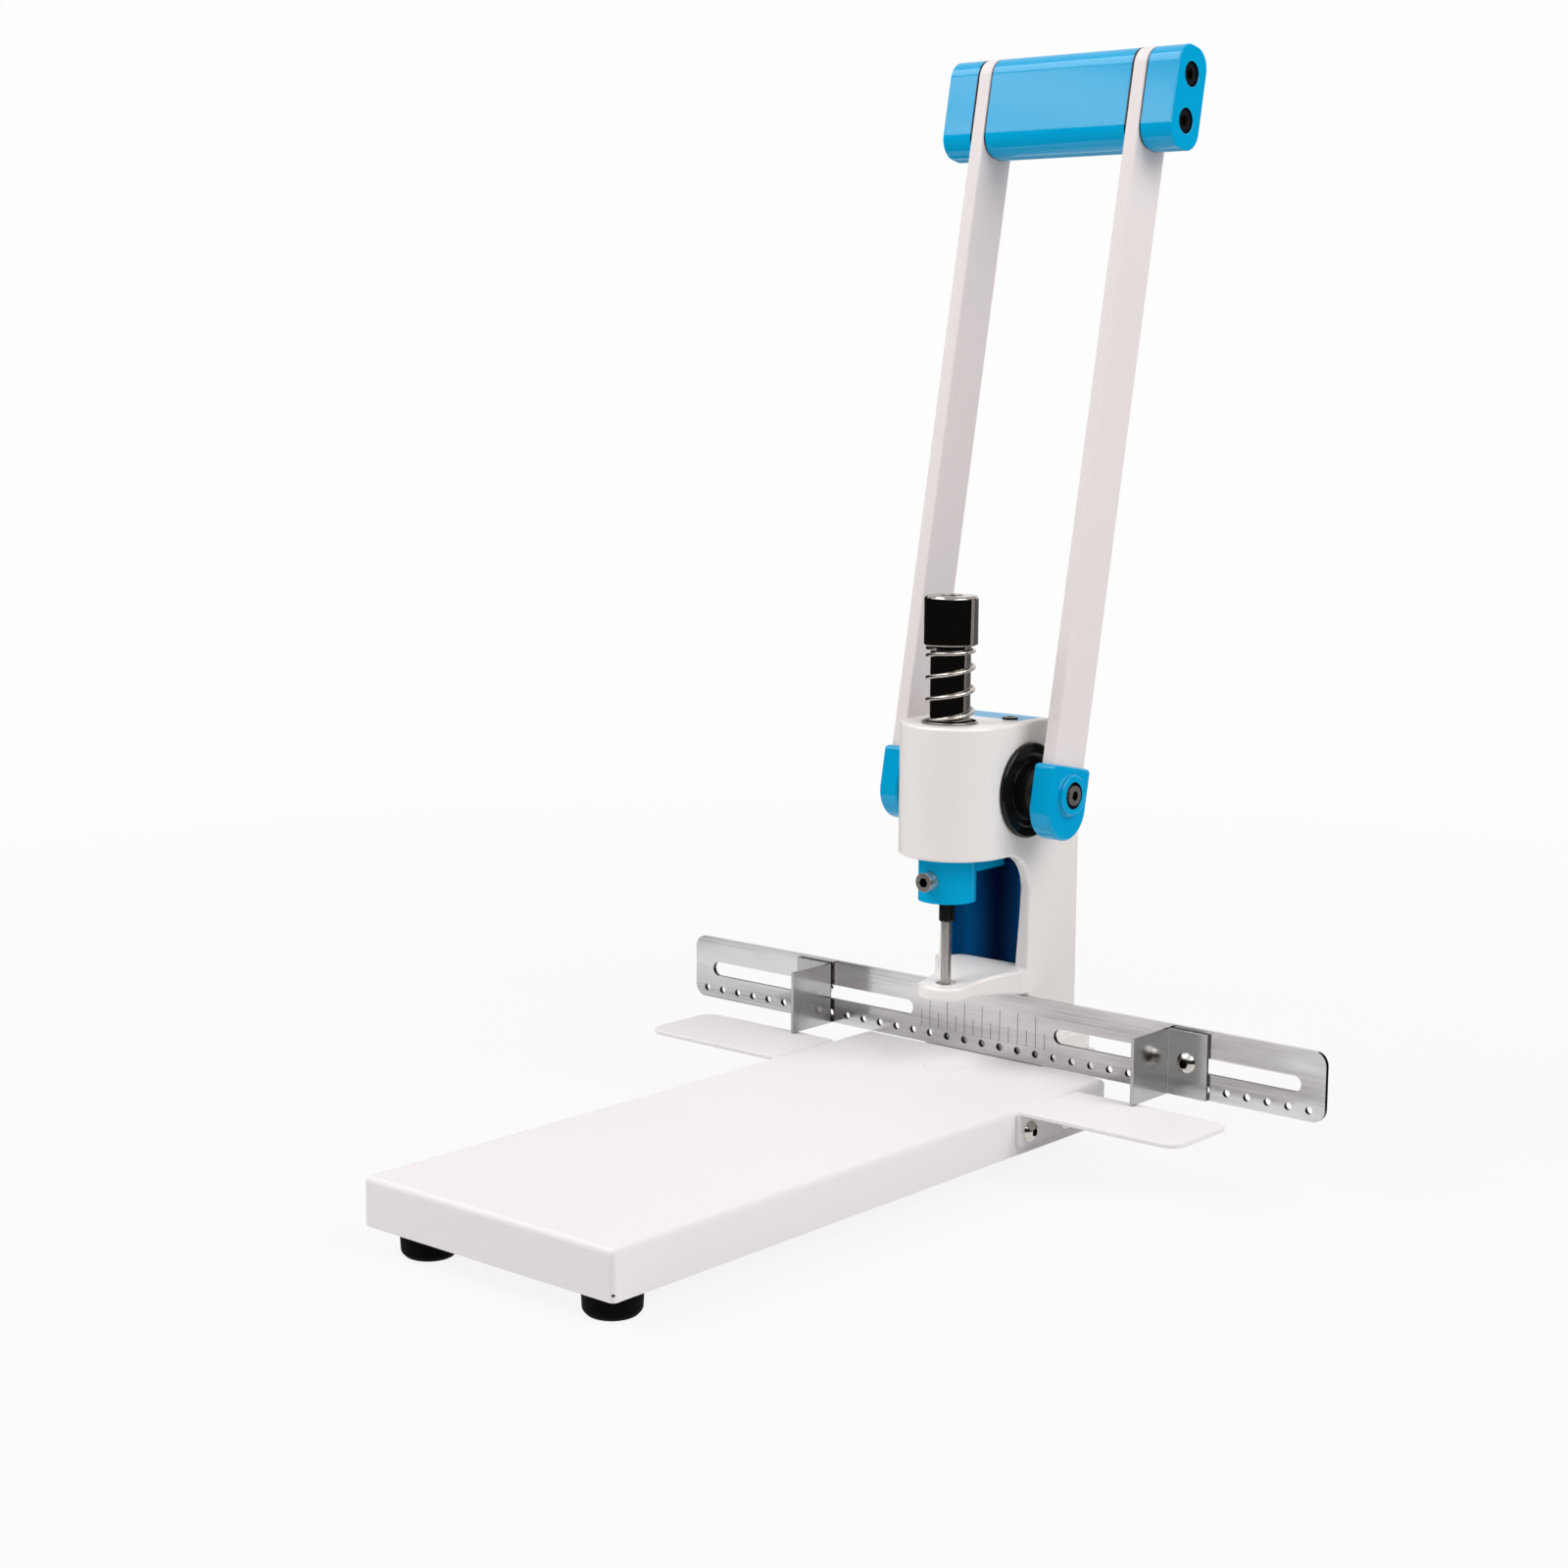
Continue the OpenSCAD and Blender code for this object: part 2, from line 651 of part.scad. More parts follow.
// A flange of the liner along the right cheek, with its rounded inside corner, seen from above
module liner_side() {
    inside = inner_w - seat - liner_flange;
    translate([inside, cheek_y + liner_back]) square([liner_flange, liner_y - cheek_y - liner_back]);
    translate([inside, liner_y]) rotate(180) corner(liner_r);
}

module throat_liner() color(blue) place() {
    liner_slot(0);
    translate([0, 0, floor_z]) linear_extrude(head_z - floor_z)
        for (side = [0, 1]) mirror([side, 0]) liner_side();
}

module back_cover() color(blue) place() difference() {
    across(-inner_w + seat, inner_w - seat) cover_outline(cover_t);
    cover_screw_places() bar_z(m4[0] + seat, -cover_t - over, over);
    lip_screw_places() bar_z(m4[0] + seat, -cover_t - over, over);
}

module cover_screws() color(black) place() {
    cover_screw_places() button_screw(m4, cover_t + cover_screw_in);
    lip_screw_places() socket_screw([m4[0], low_head_r], cover_t + top_plate, low_head_h, low_head_hex);
}

// A black flanged bearing on the right side of the head
module bearing_form() translate([0, pivot_y, pivot_z]) rotate([0, 90, 0]) rotate_extrude() polygon([
    [shaft_d / 2 + run, pinion_w / 2 + pass], [chamber_r - seat, pinion_w / 2 + pass],
    [chamber_r - seat, half_w],
    [bearing_d / 2, half_w], [bearing_d / 2, half_w + bearing_t * 0.7],
    [bearing_d / 2 - bearing_t * 0.3, half_w + bearing_t], [hub_d / 2 + hub_groove + 0.5, half_w + bearing_t],
    [hub_d / 2 + hub_groove, half_w + bearing_t * 0.5], [hub_d / 2, half_w + bearing_t * 0.5],
    [hub_d / 2, boot_x - pass], [shaft_d / 2 + run, boot_x - pass]]);

module bearing_left() color(black) place() mirror([1, 0, 0]) bearing_form();

module bearing_right() color(black) place() bearing_form();

module ram_bush() color([0.7, 0.55, 0.3]) place() translate([0, punch_y, 0]) difference() {
    bar_z(ram_d / 2 + bush_t, head_z, head_z + bush_h);
    bar_z(ram_d / 2 + run, head_z - over, head_z + bush_h + over);
}

module spring_cup() color(chrome) place() translate([0, punch_y, 0]) difference() {
    bar_z(cup_d / 2 + cup_wall, cup_z, head_top + cup_rim);
    bar_z(cup_d / 2, cup_z + cup_floor, head_top + cup_rim + over);
    bar_z(ram_d / 2 + run, cup_z - over, head_top);
}

// Height of the wire's middle after a number of turns
function coil_rise(turn) = turn < 1 ? turn * end_pitch
    : turn > coils - 1 ? spring_h - wire_d - (coils - turn) * end_pitch
    : end_pitch + (turn - 1) * open_pitch;
function coil_out(turn) = [cos(360 * turn + coil_start), sin(360 * turn + coil_start), 0];
function coil_point(turn) = spring_r * coil_out(turn) + [0, 0, spring_z + wire_d / 2 + coil_rise(turn)];
function unit(v) = v / norm(v);
function wire_ring(turn) = let (
    middle = coil_point(turn),
    out = coil_out(turn),
    ahead = unit(coil_point(min(turn + 0.02, coils)) - coil_point(max(turn - 0.02, 0))),
    up = unit(cross(out, ahead)),
    side = cross(ahead, up))
    [for (k = [0 : wire_sides - 1]) let (a = 360 * (k + 0.5) / wire_sides)
        middle + wire_d / 2 * (cos(a) * side + sin(a) * up)];
ring_count = coils * ring_steps + 1;
spring_middles = [for (i = [0 : ring_count - 1]) coil_point(i / ring_steps)];
spring_points = [for (i = [0 : ring_count - 1]) each wire_ring(i / ring_steps)];
spring_sides = [for (i = [0 : ring_count - 2], k = [0 : wire_sides - 1]) let (
    a = i * wire_sides + k,
    b = i * wire_sides + (k + 1) % wire_sides)
    each [[a, b, b + wire_sides], [a, b + wire_sides, a + wire_sides]]];
spring_end = (ring_count - 1) * wire_sides;
spring_caps = [for (k = [1 : wire_sides - 2])
    each [[0, k + 1, k], [spring_end, spring_end + k, spring_end + k + 1]]];
spring_gap = min([for (i = [0 : ring_count - 1], j = [0 : ring_count - 1])
    if (j - i >= ring_steps * 3 / 4) norm(spring_middles[j] - spring_middles[i]) - wire_d]);
echo(str("least gap between the spring's coils: ", spring_gap, " mm"));

module return_spring() color(chrome) place() translate([0, punch_y, 0])
    polyhedron(spring_points, concat(spring_sides, spring_caps));

module lever_shaft() color(steel) lever_place() difference() {
    bar_x(shaft_d / 2, -arm_out, arm_out);
    block(-pinion_w / 2, pinion_w / 2, -2 - run, 2 + run, shaft_d / 2 - 2.5, shaft_d);
    for (side = [-1, 1]) translate([side * arm_out, 0, 0])
        bar_x(m5[0] + run, -boot_screw_len - over, boot_screw_len + over);
}

function involute(a) = tan(a) * 180 / PI - a;
function half_tooth(r) = 90 / pinion_teeth - backlash / 4 / pitch_r * 180 / PI + involute(pressure)
    - involute(acos(min(1, base_r / r)));
flank_r = [for (i = [0 : 3]) base_r + 0.01 + i / 3 * (pitch_r + tip_h - base_r - 0.01)];
tooth_flank = concat([[pitch_r - root_h, half_tooth(base_r)]], [for (r = flank_r) [r, half_tooth(r)]]);
function polar(r, a) = [r * cos(a), r * sin(a)];

// The pinion's outline in (y, z), with a gap between teeth facing the rack
module pinion_outline() polygon([for (k = [0 : pinion_teeth - 1]) let (
    mid = 180 + (k + 0.5) * 360 / pinion_teeth)
    each concat([for (p = tooth_flank) polar(p[0], mid - p[1])],
        [for (i = [len(tooth_flank) - 1 : -1 : 0]) polar(tooth_flank[i][0], mid + tooth_flank[i][1])])]);

module pinion() color(steel) place() translate([0, pivot_y, pivot_z]) difference() {
    across(-pinion_w / 2, pinion_w / 2) pinion_outline();
    bar_x(shaft_d / 2 + run, -pinion_w, pinion_w);
    rotate([-lean, 0, 0]) block(-pinion_w, pinion_w, -2 - run, 2 + run, 0, shaft_d / 2 + 2);
}

module pinion_key() color(steel) lever_place()
    block(-pinion_w / 2 + seat, pinion_w / 2 - seat, -2, 2, shaft_d / 2 - 2.4, shaft_d / 2 + 1.9);

module grip_outline() round_rect(-arm_w / 2, arm_w / 2, lever_len - grip_h / 2, grip_top, grip_r);

module grip_bolt_places() for (s = [-1, 1]) translate([0, 0, lever_len + s * bolt_span / 2]) children();

module arm_form() difference() {
    across(arm_x, arm_out) {
        circle(arm_w / 2);
        translate([-arm_w / 2, 0]) square([arm_w, lever_len]);
        grip_outline();
    }
    bar_x(shaft_d / 2 + run, arm_x - over, arm_out + over);
    grip_bolt_places() bar_x(m6[0] + seat, arm_x - over, arm_out + over);
}

module arm_left() color(white) lever_place() mirror([1, 0, 0]) arm_form();

module arm_right() color(white) lever_place() arm_form();

module boot_form() difference() {
    union() {
        across(boot_x, boot_out) {
            translate([0, -boot_drop]) circle(boot_w / 2);
            translate([-boot_w / 2, -boot_drop]) square([boot_w, boot_drop + boot_up]);
        }
        bar_x(boss_d / 2, boot_out - over, boss_out);
    }
    across(arm_x - seat, arm_out + seat) {
        circle(arm_w / 2 + seat);
        translate([-arm_w / 2 - seat, 0]) square([arm_w + 2 * seat, boot_up + over]);
    }
    bar_x(shaft_d / 2 + pass, boot_x - over, arm_x + over);
    bar_x(m5[0] + seat, arm_out - over, boss_out + over);
    bar_x(boot_head_r, arm_out + boot_seat, boss_out + over);
}

module boot_left() color(blue) lever_place() mirror([1, 0, 0]) boot_form();

module boot_right() color(blue) lever_place() boot_form();

module boot_screws() color(steel) lever_place() for (side = [0, 1]) mirror([side, 0, 0])
    translate([arm_out + boot_seat, 0, 0]) rotate([0, 90, 0])
        socket_screw([m5[0], m5_socket[0]], boot_screw_len, m5_socket[1], m5_socket[2]);

module grip_tube() color(blue) lever_place() difference() {
    across(-arm_x, arm_x) difference() {
        grip_outline();
        difference() {
            round_rect(-arm_w / 2 + grip_wall, arm_w / 2 - grip_wall, lever_len - grip_h / 2 + grip_wall,
                grip_top - grip_wall, grip_r - grip_wall);
            for (s = [-1, 1]) translate([-arm_w / 2, lever_len + s * bolt_span / 2 - bolt_head_r])
                square([arm_w, 2 * bolt_head_r]);
        }
    }
    grip_bolt_places() bar_x(m6[0] + run, -arm_x - over, arm_x + over);
}

module grip_cap_form() difference() {
    across(arm_out, grip_end) grip_outline();
    grip_bolt_places() {
        bar_x(m6[0] + seat, arm_out - over, grip_end + over);
        bar_x(bolt_head_r, grip_end - m6[2] - over, grip_end + over);
    }
}

module grip_cap_left() color(blue) lever_place() mirror([1, 0, 0]) grip_cap_form();

module grip_cap_right() color(blue) lever_place() grip_cap_form();

module grip_bolts() color(black) lever_place() for (side = [0, 1]) mirror([side, 0, 0]) grip_bolt_places()
    translate([grip_end - m6[2] - over, 0, 0]) rotate([0, 90, 0])
        socket_screw(m6, end_cap_len - m6[2] - over + arm_t + grip_bolt_in, m6[2], m6_hex);

// The space that the rack's teeth leave, in (y, z) from the ram's axis and the lever's height
rack_half = tooth_pitch / 4 - backlash / 4;
rack_profile = [for (k = [-teeth_below : teeth_above]) each [
    [rack_offset - root_h, k * tooth_pitch - rack_half - root_h * tan(pressure)],
    [rack_offset + tip_h, k * tooth_pitch - rack_half + tip_h * tan(pressure)],
    [rack_offset + tip_h, k * tooth_pitch + rack_half - tip_h * tan(pressure)],
    [rack_offset - root_h, k * tooth_pitch + rack_half + root_h * tan(pressure)]]];
rack_low = -(teeth_below + 0.6) * tooth_pitch;
rack_high = (teeth_above + 0.6) * tooth_pitch;

module rack_space() polygon(concat([[ram_d, rack_low], [rack_offset - root_h, rack_low]], rack_profile,
    [[rack_offset - root_h, rack_high], [ram_d, rack_high]]));

spigot_r = 6;
spigot_h = 13;
cap_recess = 3.5;
pin_edge = 0.3;
pin_hollow_r = 0.6;
pin_hollow_h = 3;
cap_screw_in = 8;
holder_screw_z = (holder_z + holder_top) / 2;
holder_head_r = 4.3;
holder_head_h = 5.4;
// Depth of the flat that the holder's screw head sits on
holder_flat = 0.8;

module rack_ram() color(chrome) place() translate([0, punch_y, 0]) difference() {
    union() {
        bar_z(ram_d / 2, holder_top, cap_z);
        bar_z(spigot_r, holder_top - spigot_h, cap_z + spigot_h);
    }
    translate([0, 0, pivot_z]) across(-ram_d, ram_d) rack_space();
    bar_z(m5[0] + run, cap_z, cap_z + spigot_h + over);
}

module ram_cap() color(chrome) place() translate([0, punch_y, cap_z]) difference() {
    rotate_extrude() polygon([[0, 0], [cap_d / 2 - 0.5, 0], [cap_d / 2, 0.5], [cap_d / 2, cap_h - 1],
        [cap_d / 2 - 1, cap_h], [0, cap_h]]);
    bar_z(spigot_r + run, -over, spigot_h + run);
    bar_z(m5[0] + seat, 0, cap_h + over);
    bar_z(m5[1] + 2 * seat, cap_h - cap_recess, cap_h + over);
}

module cap_screw() color(black) place() translate([0, punch_y, cap_z + cap_h - cap_recess])
    button_screw(m5, cap_h - cap_recess - spigot_h + cap_screw_in);

module punch_holder() color(blue) place() translate([0, punch_y, 0]) difference() {
    union() {
        bar_z(holder_d / 2, holder_z, holder_top);
        block(-tail_w / 2, tail_w / 2, 0, liner_y - pass - punch_y, holder_top - tail_h, holder_top);
    }
    bar_z(spigot_r + run, holder_top - spigot_h, holder_top + over);
    bar_z(collar_d / 2 + run, holder_z - over, holder_top - spigot_h + over);
    translate([0, 0, holder_screw_z]) {
        bar_y(m5[0] + run, -holder_d, 0);
        bar_y(holder_head_r + seat, -holder_d, holder_flat - holder_d / 2);
    }
}

module holder_screw() color(steel) place()
    translate([0, punch_y - holder_d / 2 + holder_flat, holder_screw_z]) rotate([90, 0, 0])
        socket_screw([m5[0], holder_head_r], holder_d / 2 - holder_flat - spigot_r - pass, holder_head_h,
            m5_socket[2]);

module punch_collar() color(black) place() translate([0, punch_y, 0]) difference() {
    bar_z(collar_d / 2, collar_z, holder_top - spigot_h - seat);
    bar_z(pin_d / 2 + run, collar_z - over, holder_top);
}

module punch_pin() color(steel) place() translate([0, punch_y, 0]) difference() {
    bar_z(pin_d / 2, pin_z, holder_top - spigot_h - seat);
    translate([0, 0, pin_z - seat]) cylinder(r1 = pin_d / 2 - pin_edge, r2 = pin_hollow_r, h = pin_hollow_h);
}

stop_z = pass;

// A stop on the right side, with its fence at x = 0 and its leg outwards along the ruler
module stop_plate() difference() {
    linear_extrude(stop_h) difference() {
        union() {
            translate([0, -stop_reach]) square([stop_t, stop_reach - seat]);
            translate([0, -seat - stop_t]) square([stop_leg, stop_t]);
        }
        translate([0, -seat]) mirror([0, 1]) corner(stop_t);
    }
    translate([stop_leg / 2, 0, slot_z - stop_z]) bar_y(stop_screw_d / 2 + run, -stop_t - over, over);
}

module stop_screw() translate([stop_leg / 2, -seat - stop_t, slot_z - stop_z]) rotate([90, 0, 0])
    button_screw([stop_screw_d / 2, m5[1], m5[2]], stop_t + seat + ruler_t + seat + screw_end);

module stop_nut() translate([stop_leg / 2, ruler_t + seat, slot_z - stop_z]) rotate([-90, 0, 0])
    hex_nut(stop_screw_d / 2, m6_nut[0], m6_nut[1]);

module at_right_stop() place() translate([stop_right, 0, stop_z]) children();

module at_left_stop() place() mirror([1, 0, 0]) translate([stop_left, 0, stop_z]) children();

base_pan();
anvil_plate();
cutting_pad();
foot_at(-1, 0);  // foot_front_left
foot_at(1, 0);  // foot_front_right
foot_at(-1, 1);  // foot_rear_left
foot_at(1, 1);  // foot_rear_right
foot_screws();
foot_nuts();
wing_left();
wing_right();
wing_screws();
c_frame();
frame_bolts();
ruler();
ruler_studs();
ruler_nuts();
throat_liner();
back_cover();
cover_screws();
bearing_left();
bearing_right();
ram_bush();
spring_cup();
return_spring();
lever_shaft();
pinion();
pinion_key();
arm_left();
arm_right();
boot_left();
boot_right();
boot_screws();
grip_tube();
grip_cap_left();
grip_cap_right();
grip_bolts();
rack_ram();
ram_cap();
cap_screw();
punch_holder();
holder_screw();
punch_collar();
punch_pin();
color(steel) at_left_stop() stop_plate();  // stop_left_plate
color(steel) at_left_stop() stop_screw();  // stop_left_screw
color(steel) at_left_stop() stop_nut();  // stop_left_nut
color(steel) at_right_stop() stop_plate();  // stop_right_plate
color(steel) at_right_stop() stop_screw();  // stop_right_screw
color(steel) at_right_stop() stop_nut();  // stop_right_nut
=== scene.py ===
import json
import math
import bmesh
import bpy
from mathutils import Matrix, Vector

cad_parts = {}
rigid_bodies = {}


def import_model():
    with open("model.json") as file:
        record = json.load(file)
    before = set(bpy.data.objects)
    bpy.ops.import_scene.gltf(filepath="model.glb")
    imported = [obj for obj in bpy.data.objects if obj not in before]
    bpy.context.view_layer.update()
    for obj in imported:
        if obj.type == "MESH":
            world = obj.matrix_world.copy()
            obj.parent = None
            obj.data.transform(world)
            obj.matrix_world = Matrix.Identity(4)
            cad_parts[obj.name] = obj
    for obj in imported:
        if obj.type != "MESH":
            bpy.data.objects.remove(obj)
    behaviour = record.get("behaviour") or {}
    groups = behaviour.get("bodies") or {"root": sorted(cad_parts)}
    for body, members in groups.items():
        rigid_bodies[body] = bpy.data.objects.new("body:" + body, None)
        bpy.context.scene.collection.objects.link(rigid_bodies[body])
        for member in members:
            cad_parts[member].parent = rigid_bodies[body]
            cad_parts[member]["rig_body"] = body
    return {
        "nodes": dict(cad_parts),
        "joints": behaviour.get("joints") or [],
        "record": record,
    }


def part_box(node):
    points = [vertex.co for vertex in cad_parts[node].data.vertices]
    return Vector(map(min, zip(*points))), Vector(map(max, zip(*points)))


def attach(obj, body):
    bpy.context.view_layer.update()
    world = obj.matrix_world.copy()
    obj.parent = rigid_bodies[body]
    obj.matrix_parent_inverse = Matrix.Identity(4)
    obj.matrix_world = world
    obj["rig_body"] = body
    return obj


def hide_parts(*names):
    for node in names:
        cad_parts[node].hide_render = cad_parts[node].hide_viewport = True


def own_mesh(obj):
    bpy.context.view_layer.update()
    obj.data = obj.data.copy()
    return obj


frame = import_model()
nodes = frame["nodes"]
joints = {joint["name"]: joint for joint in frame["joints"]}
slotOf = {part["node"]: part["material_slot"] for part in frame["record"]["subparts"]}
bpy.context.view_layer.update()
scene = bpy.context.scene
scene.view_settings.view_transform = "Standard"
mm = 0.001
print("frame:", len(nodes), "nodes")

# camera, from the photo's straight edges; the picture is square
photoView = {
    "place": (0.7125, -0.8515, 0.3417),
    "azimuth": 40.58, "elevation": 8.82, "roll": 0.33,  # degrees
    "lens": 61.69, "sensor": 36.0,  # millimetres
    "near": 0.01, "far": 50.0,  # metres, what the camera sees
}


def setCamera(view):
    az, el, roll = (math.radians(view[k]) for k in ("azimuth", "elevation", "roll"))
    back = Vector((math.sin(az) * math.cos(el), -math.cos(az) * math.cos(el), math.sin(el)))
    level = Vector((math.cos(az), math.sin(az), 0))
    up = back.cross(level)
    right = level * math.cos(roll) + up * math.sin(roll)
    turn = Matrix((right, back.cross(right), back)).transposed()
    data = bpy.data.cameras.new("photoCamera")
    data.sensor_width = view["sensor"]
    data.lens = view["lens"]
    data.clip_start, data.clip_end = view["near"], view["far"]
    camera = bpy.data.objects.new("photoCamera", data)
    camera.matrix_world = Matrix.Translation(view["place"]) @ turn.to_4x4()
    scene.collection.objects.link(camera)
    scene.camera = camera


setCamera(photoView)
print("camera set")


# shader groups
def newGroup(name, inputs, outputs):
    group = bpy.data.node_groups.new(name, "ShaderNodeTree")
    for label, kind, value in inputs:
        socket = group.interface.new_socket(label, in_out="INPUT", socket_type=kind)
        socket.default_value = value
    for label, kind in outputs:
        group.interface.new_socket(label, in_out="OUTPUT", socket_type=kind)
    return group, group.nodes.new("NodeGroupInput").outputs, group.nodes.new("NodeGroupOutput").inputs


def addNode(tree, kind, links=(), **values):
    node = tree.nodes.new(kind)
    for key, value in values.items():
        setattr(node, key, value)
    for key, value in dict(links).items():
        if isinstance(value, bpy.types.NodeSocket):
            tree.links.new(value, node.inputs[key])
        else:
            node.inputs[key].default_value = value
    return node


numberKind, colorKind, vectorKind = "NodeSocketFloat", "NodeSocketColor", "NodeSocketVector"
skinInputs = (
    ("Tone", colorKind, (0.8, 0.8, 0.8, 1)), ("Shade", colorKind, (0.75, 0.75, 0.75, 1)),
    ("Cloud Scale", numberKind, 25.0), ("Roughness", numberKind, 0.4), ("Spread", numberKind, 0.1),
    ("Cut And Shade Tone", colorKind, (0.02, 0.02, 0.02, 1)))
skinOutputs = (("Color", colorKind), ("Roughness", numberKind), ("Height", numberKind))
toneLabels = ("Tone", "Shade", "Cut And Shade Tone")
mixFactor, mixFirst, mixSecond, mixColor = 0, 6, 7, 2  # sockets of a Mix node that mixes colours
noiseMean = 0.5
cloudLow, cloudHigh = 0.35, 0.65  # a noise's values that stand for no cloud and for full cloud
cutAndShadeLayer = "cutAndShadeFace"  # face attribute, 1 on faces with the dark cut-and-shade tone: cut edges, and painted shade in recesses, sockets and joints


def mixTones(tree, factor, first, second):
    tones = {mixFactor: factor, mixFirst: first, mixSecond: second}
    return addNode(tree, "ShaderNodeMix", tones, data_type="RGBA").outputs[mixColor]


# colour that drifts between two tones, with a dark third one on marked faces (cut edges, and painted shade in
# recesses, sockets and joints), and a roughness that drifts with a pattern
def linkSkin(group, given, made, drift, pattern):
    drifting = mixTones(group, drift, given["Tone"], given["Shade"])
    away = addNode(group, "ShaderNodeMath", {0: pattern, 1: noiseMean}, operation="SUBTRACT")
    rough = addNode(group, "ShaderNodeMath", {0: away.outputs[0], 1: given["Spread"], 2: given["Roughness"]},
                    operation="MULTIPLY_ADD")
    cutAndShade = addNode(group, "ShaderNodeAttribute", attribute_name=cutAndShadeLayer).outputs["Fac"]
    group.links.new(mixTones(group, cutAndShade, drifting, given["Cut And Shade Tone"]), made["Color"])
    group.links.new(rough.outputs[0], made["Roughness"])
    group.links.new(pattern, made["Height"])


def addNoise(group, place, scale, detail):
    values = {"Vector": place, "Scale": scale, "Detail": detail}
    return addNode(group, "ShaderNodeTexNoise", values).outputs["Fac"]


def stretched(group, place, factors):
    return addNode(group, "ShaderNodeVectorMath", {0: place, 1: factors}, operation="MULTIPLY").outputs[0]


# cloudy tone plus a fine even grain: powder paint, enamel, moulded plastic, rubber
def makeGrainSkin():
    more = (("Grain Scale", numberKind, 1500.0),)
    group, given, made = newGroup("grainSkin", skinInputs + more, skinOutputs)
    place = addNode(group, "ShaderNodeTexCoord").outputs["Object"]
    cloud = addNoise(group, place, given["Cloud Scale"], 4.0)
    grain = addNoise(group, place, given["Grain Scale"], 2.0)
    linkSkin(group, given, made, cloud, grain)
    return group


# long drag lines of rolling, brushing or turning, stronger in some places than in others
def makeDragSkin():
    more = (("Stretch", vectorKind, (1.0, 1.0, 1.0)), ("Band", vectorKind, (1.0, 1.0, 1.0)))
    group, given, made = newGroup("dragSkin", skinInputs + more, skinOutputs)
    place = addNode(group, "ShaderNodeTexCoord").outputs["Object"]
    cloud = addNoise(group, stretched(group, place, given["Band"]), given["Cloud Scale"], 3.0)
    lines = addNoise(group, stretched(group, place, given["Stretch"]), 1.0, 3.0)
    span = {"Value": cloud, "From Min": cloudLow, "From Max": cloudHigh}
    clear = addNode(group, "ShaderNodeMapRange", span)
    both = addNode(group, "ShaderNodeMath", {0: clear.outputs["Result"], 1: lines}, operation="MULTIPLY")
    linkSkin(group, given, made, both.outputs[0], lines)
    return group


grainSkin, dragSkin = makeGrainSkin(), makeDragSkin()
print("shader groups made")


# a finish: one skin group into a Principled shader, with a shallow bump, its depth in millimetres
def makeFinish(name, group, skin, bump, shader):
    material = bpy.data.materials.new(name)
    material.use_nodes = True
    tree = material.node_tree
    principled = tree.nodes["Principled BSDF"]
    layer = addNode(tree, "ShaderNodeGroup", {}, node_tree=group)
    for label, value in skin.items():
        layer.inputs[label].default_value = (*value, 1) if label in toneLabels else value
    strength, depth = bump
    relief = addNode(tree, "ShaderNodeBump", {"Strength": strength, "Distance": depth * mm,
                                              "Height": layer.outputs["Height"]})
    tree.links.new(layer.outputs["Color"], principled.inputs["Base Color"])
    tree.links.new(layer.outputs["Roughness"], principled.inputs["Roughness"])
    tree.links.new(relief.outputs["Normal"], principled.inputs["Normal"])
    for label, value in shader.items():
        principled.inputs[label].default_value = value
    return material


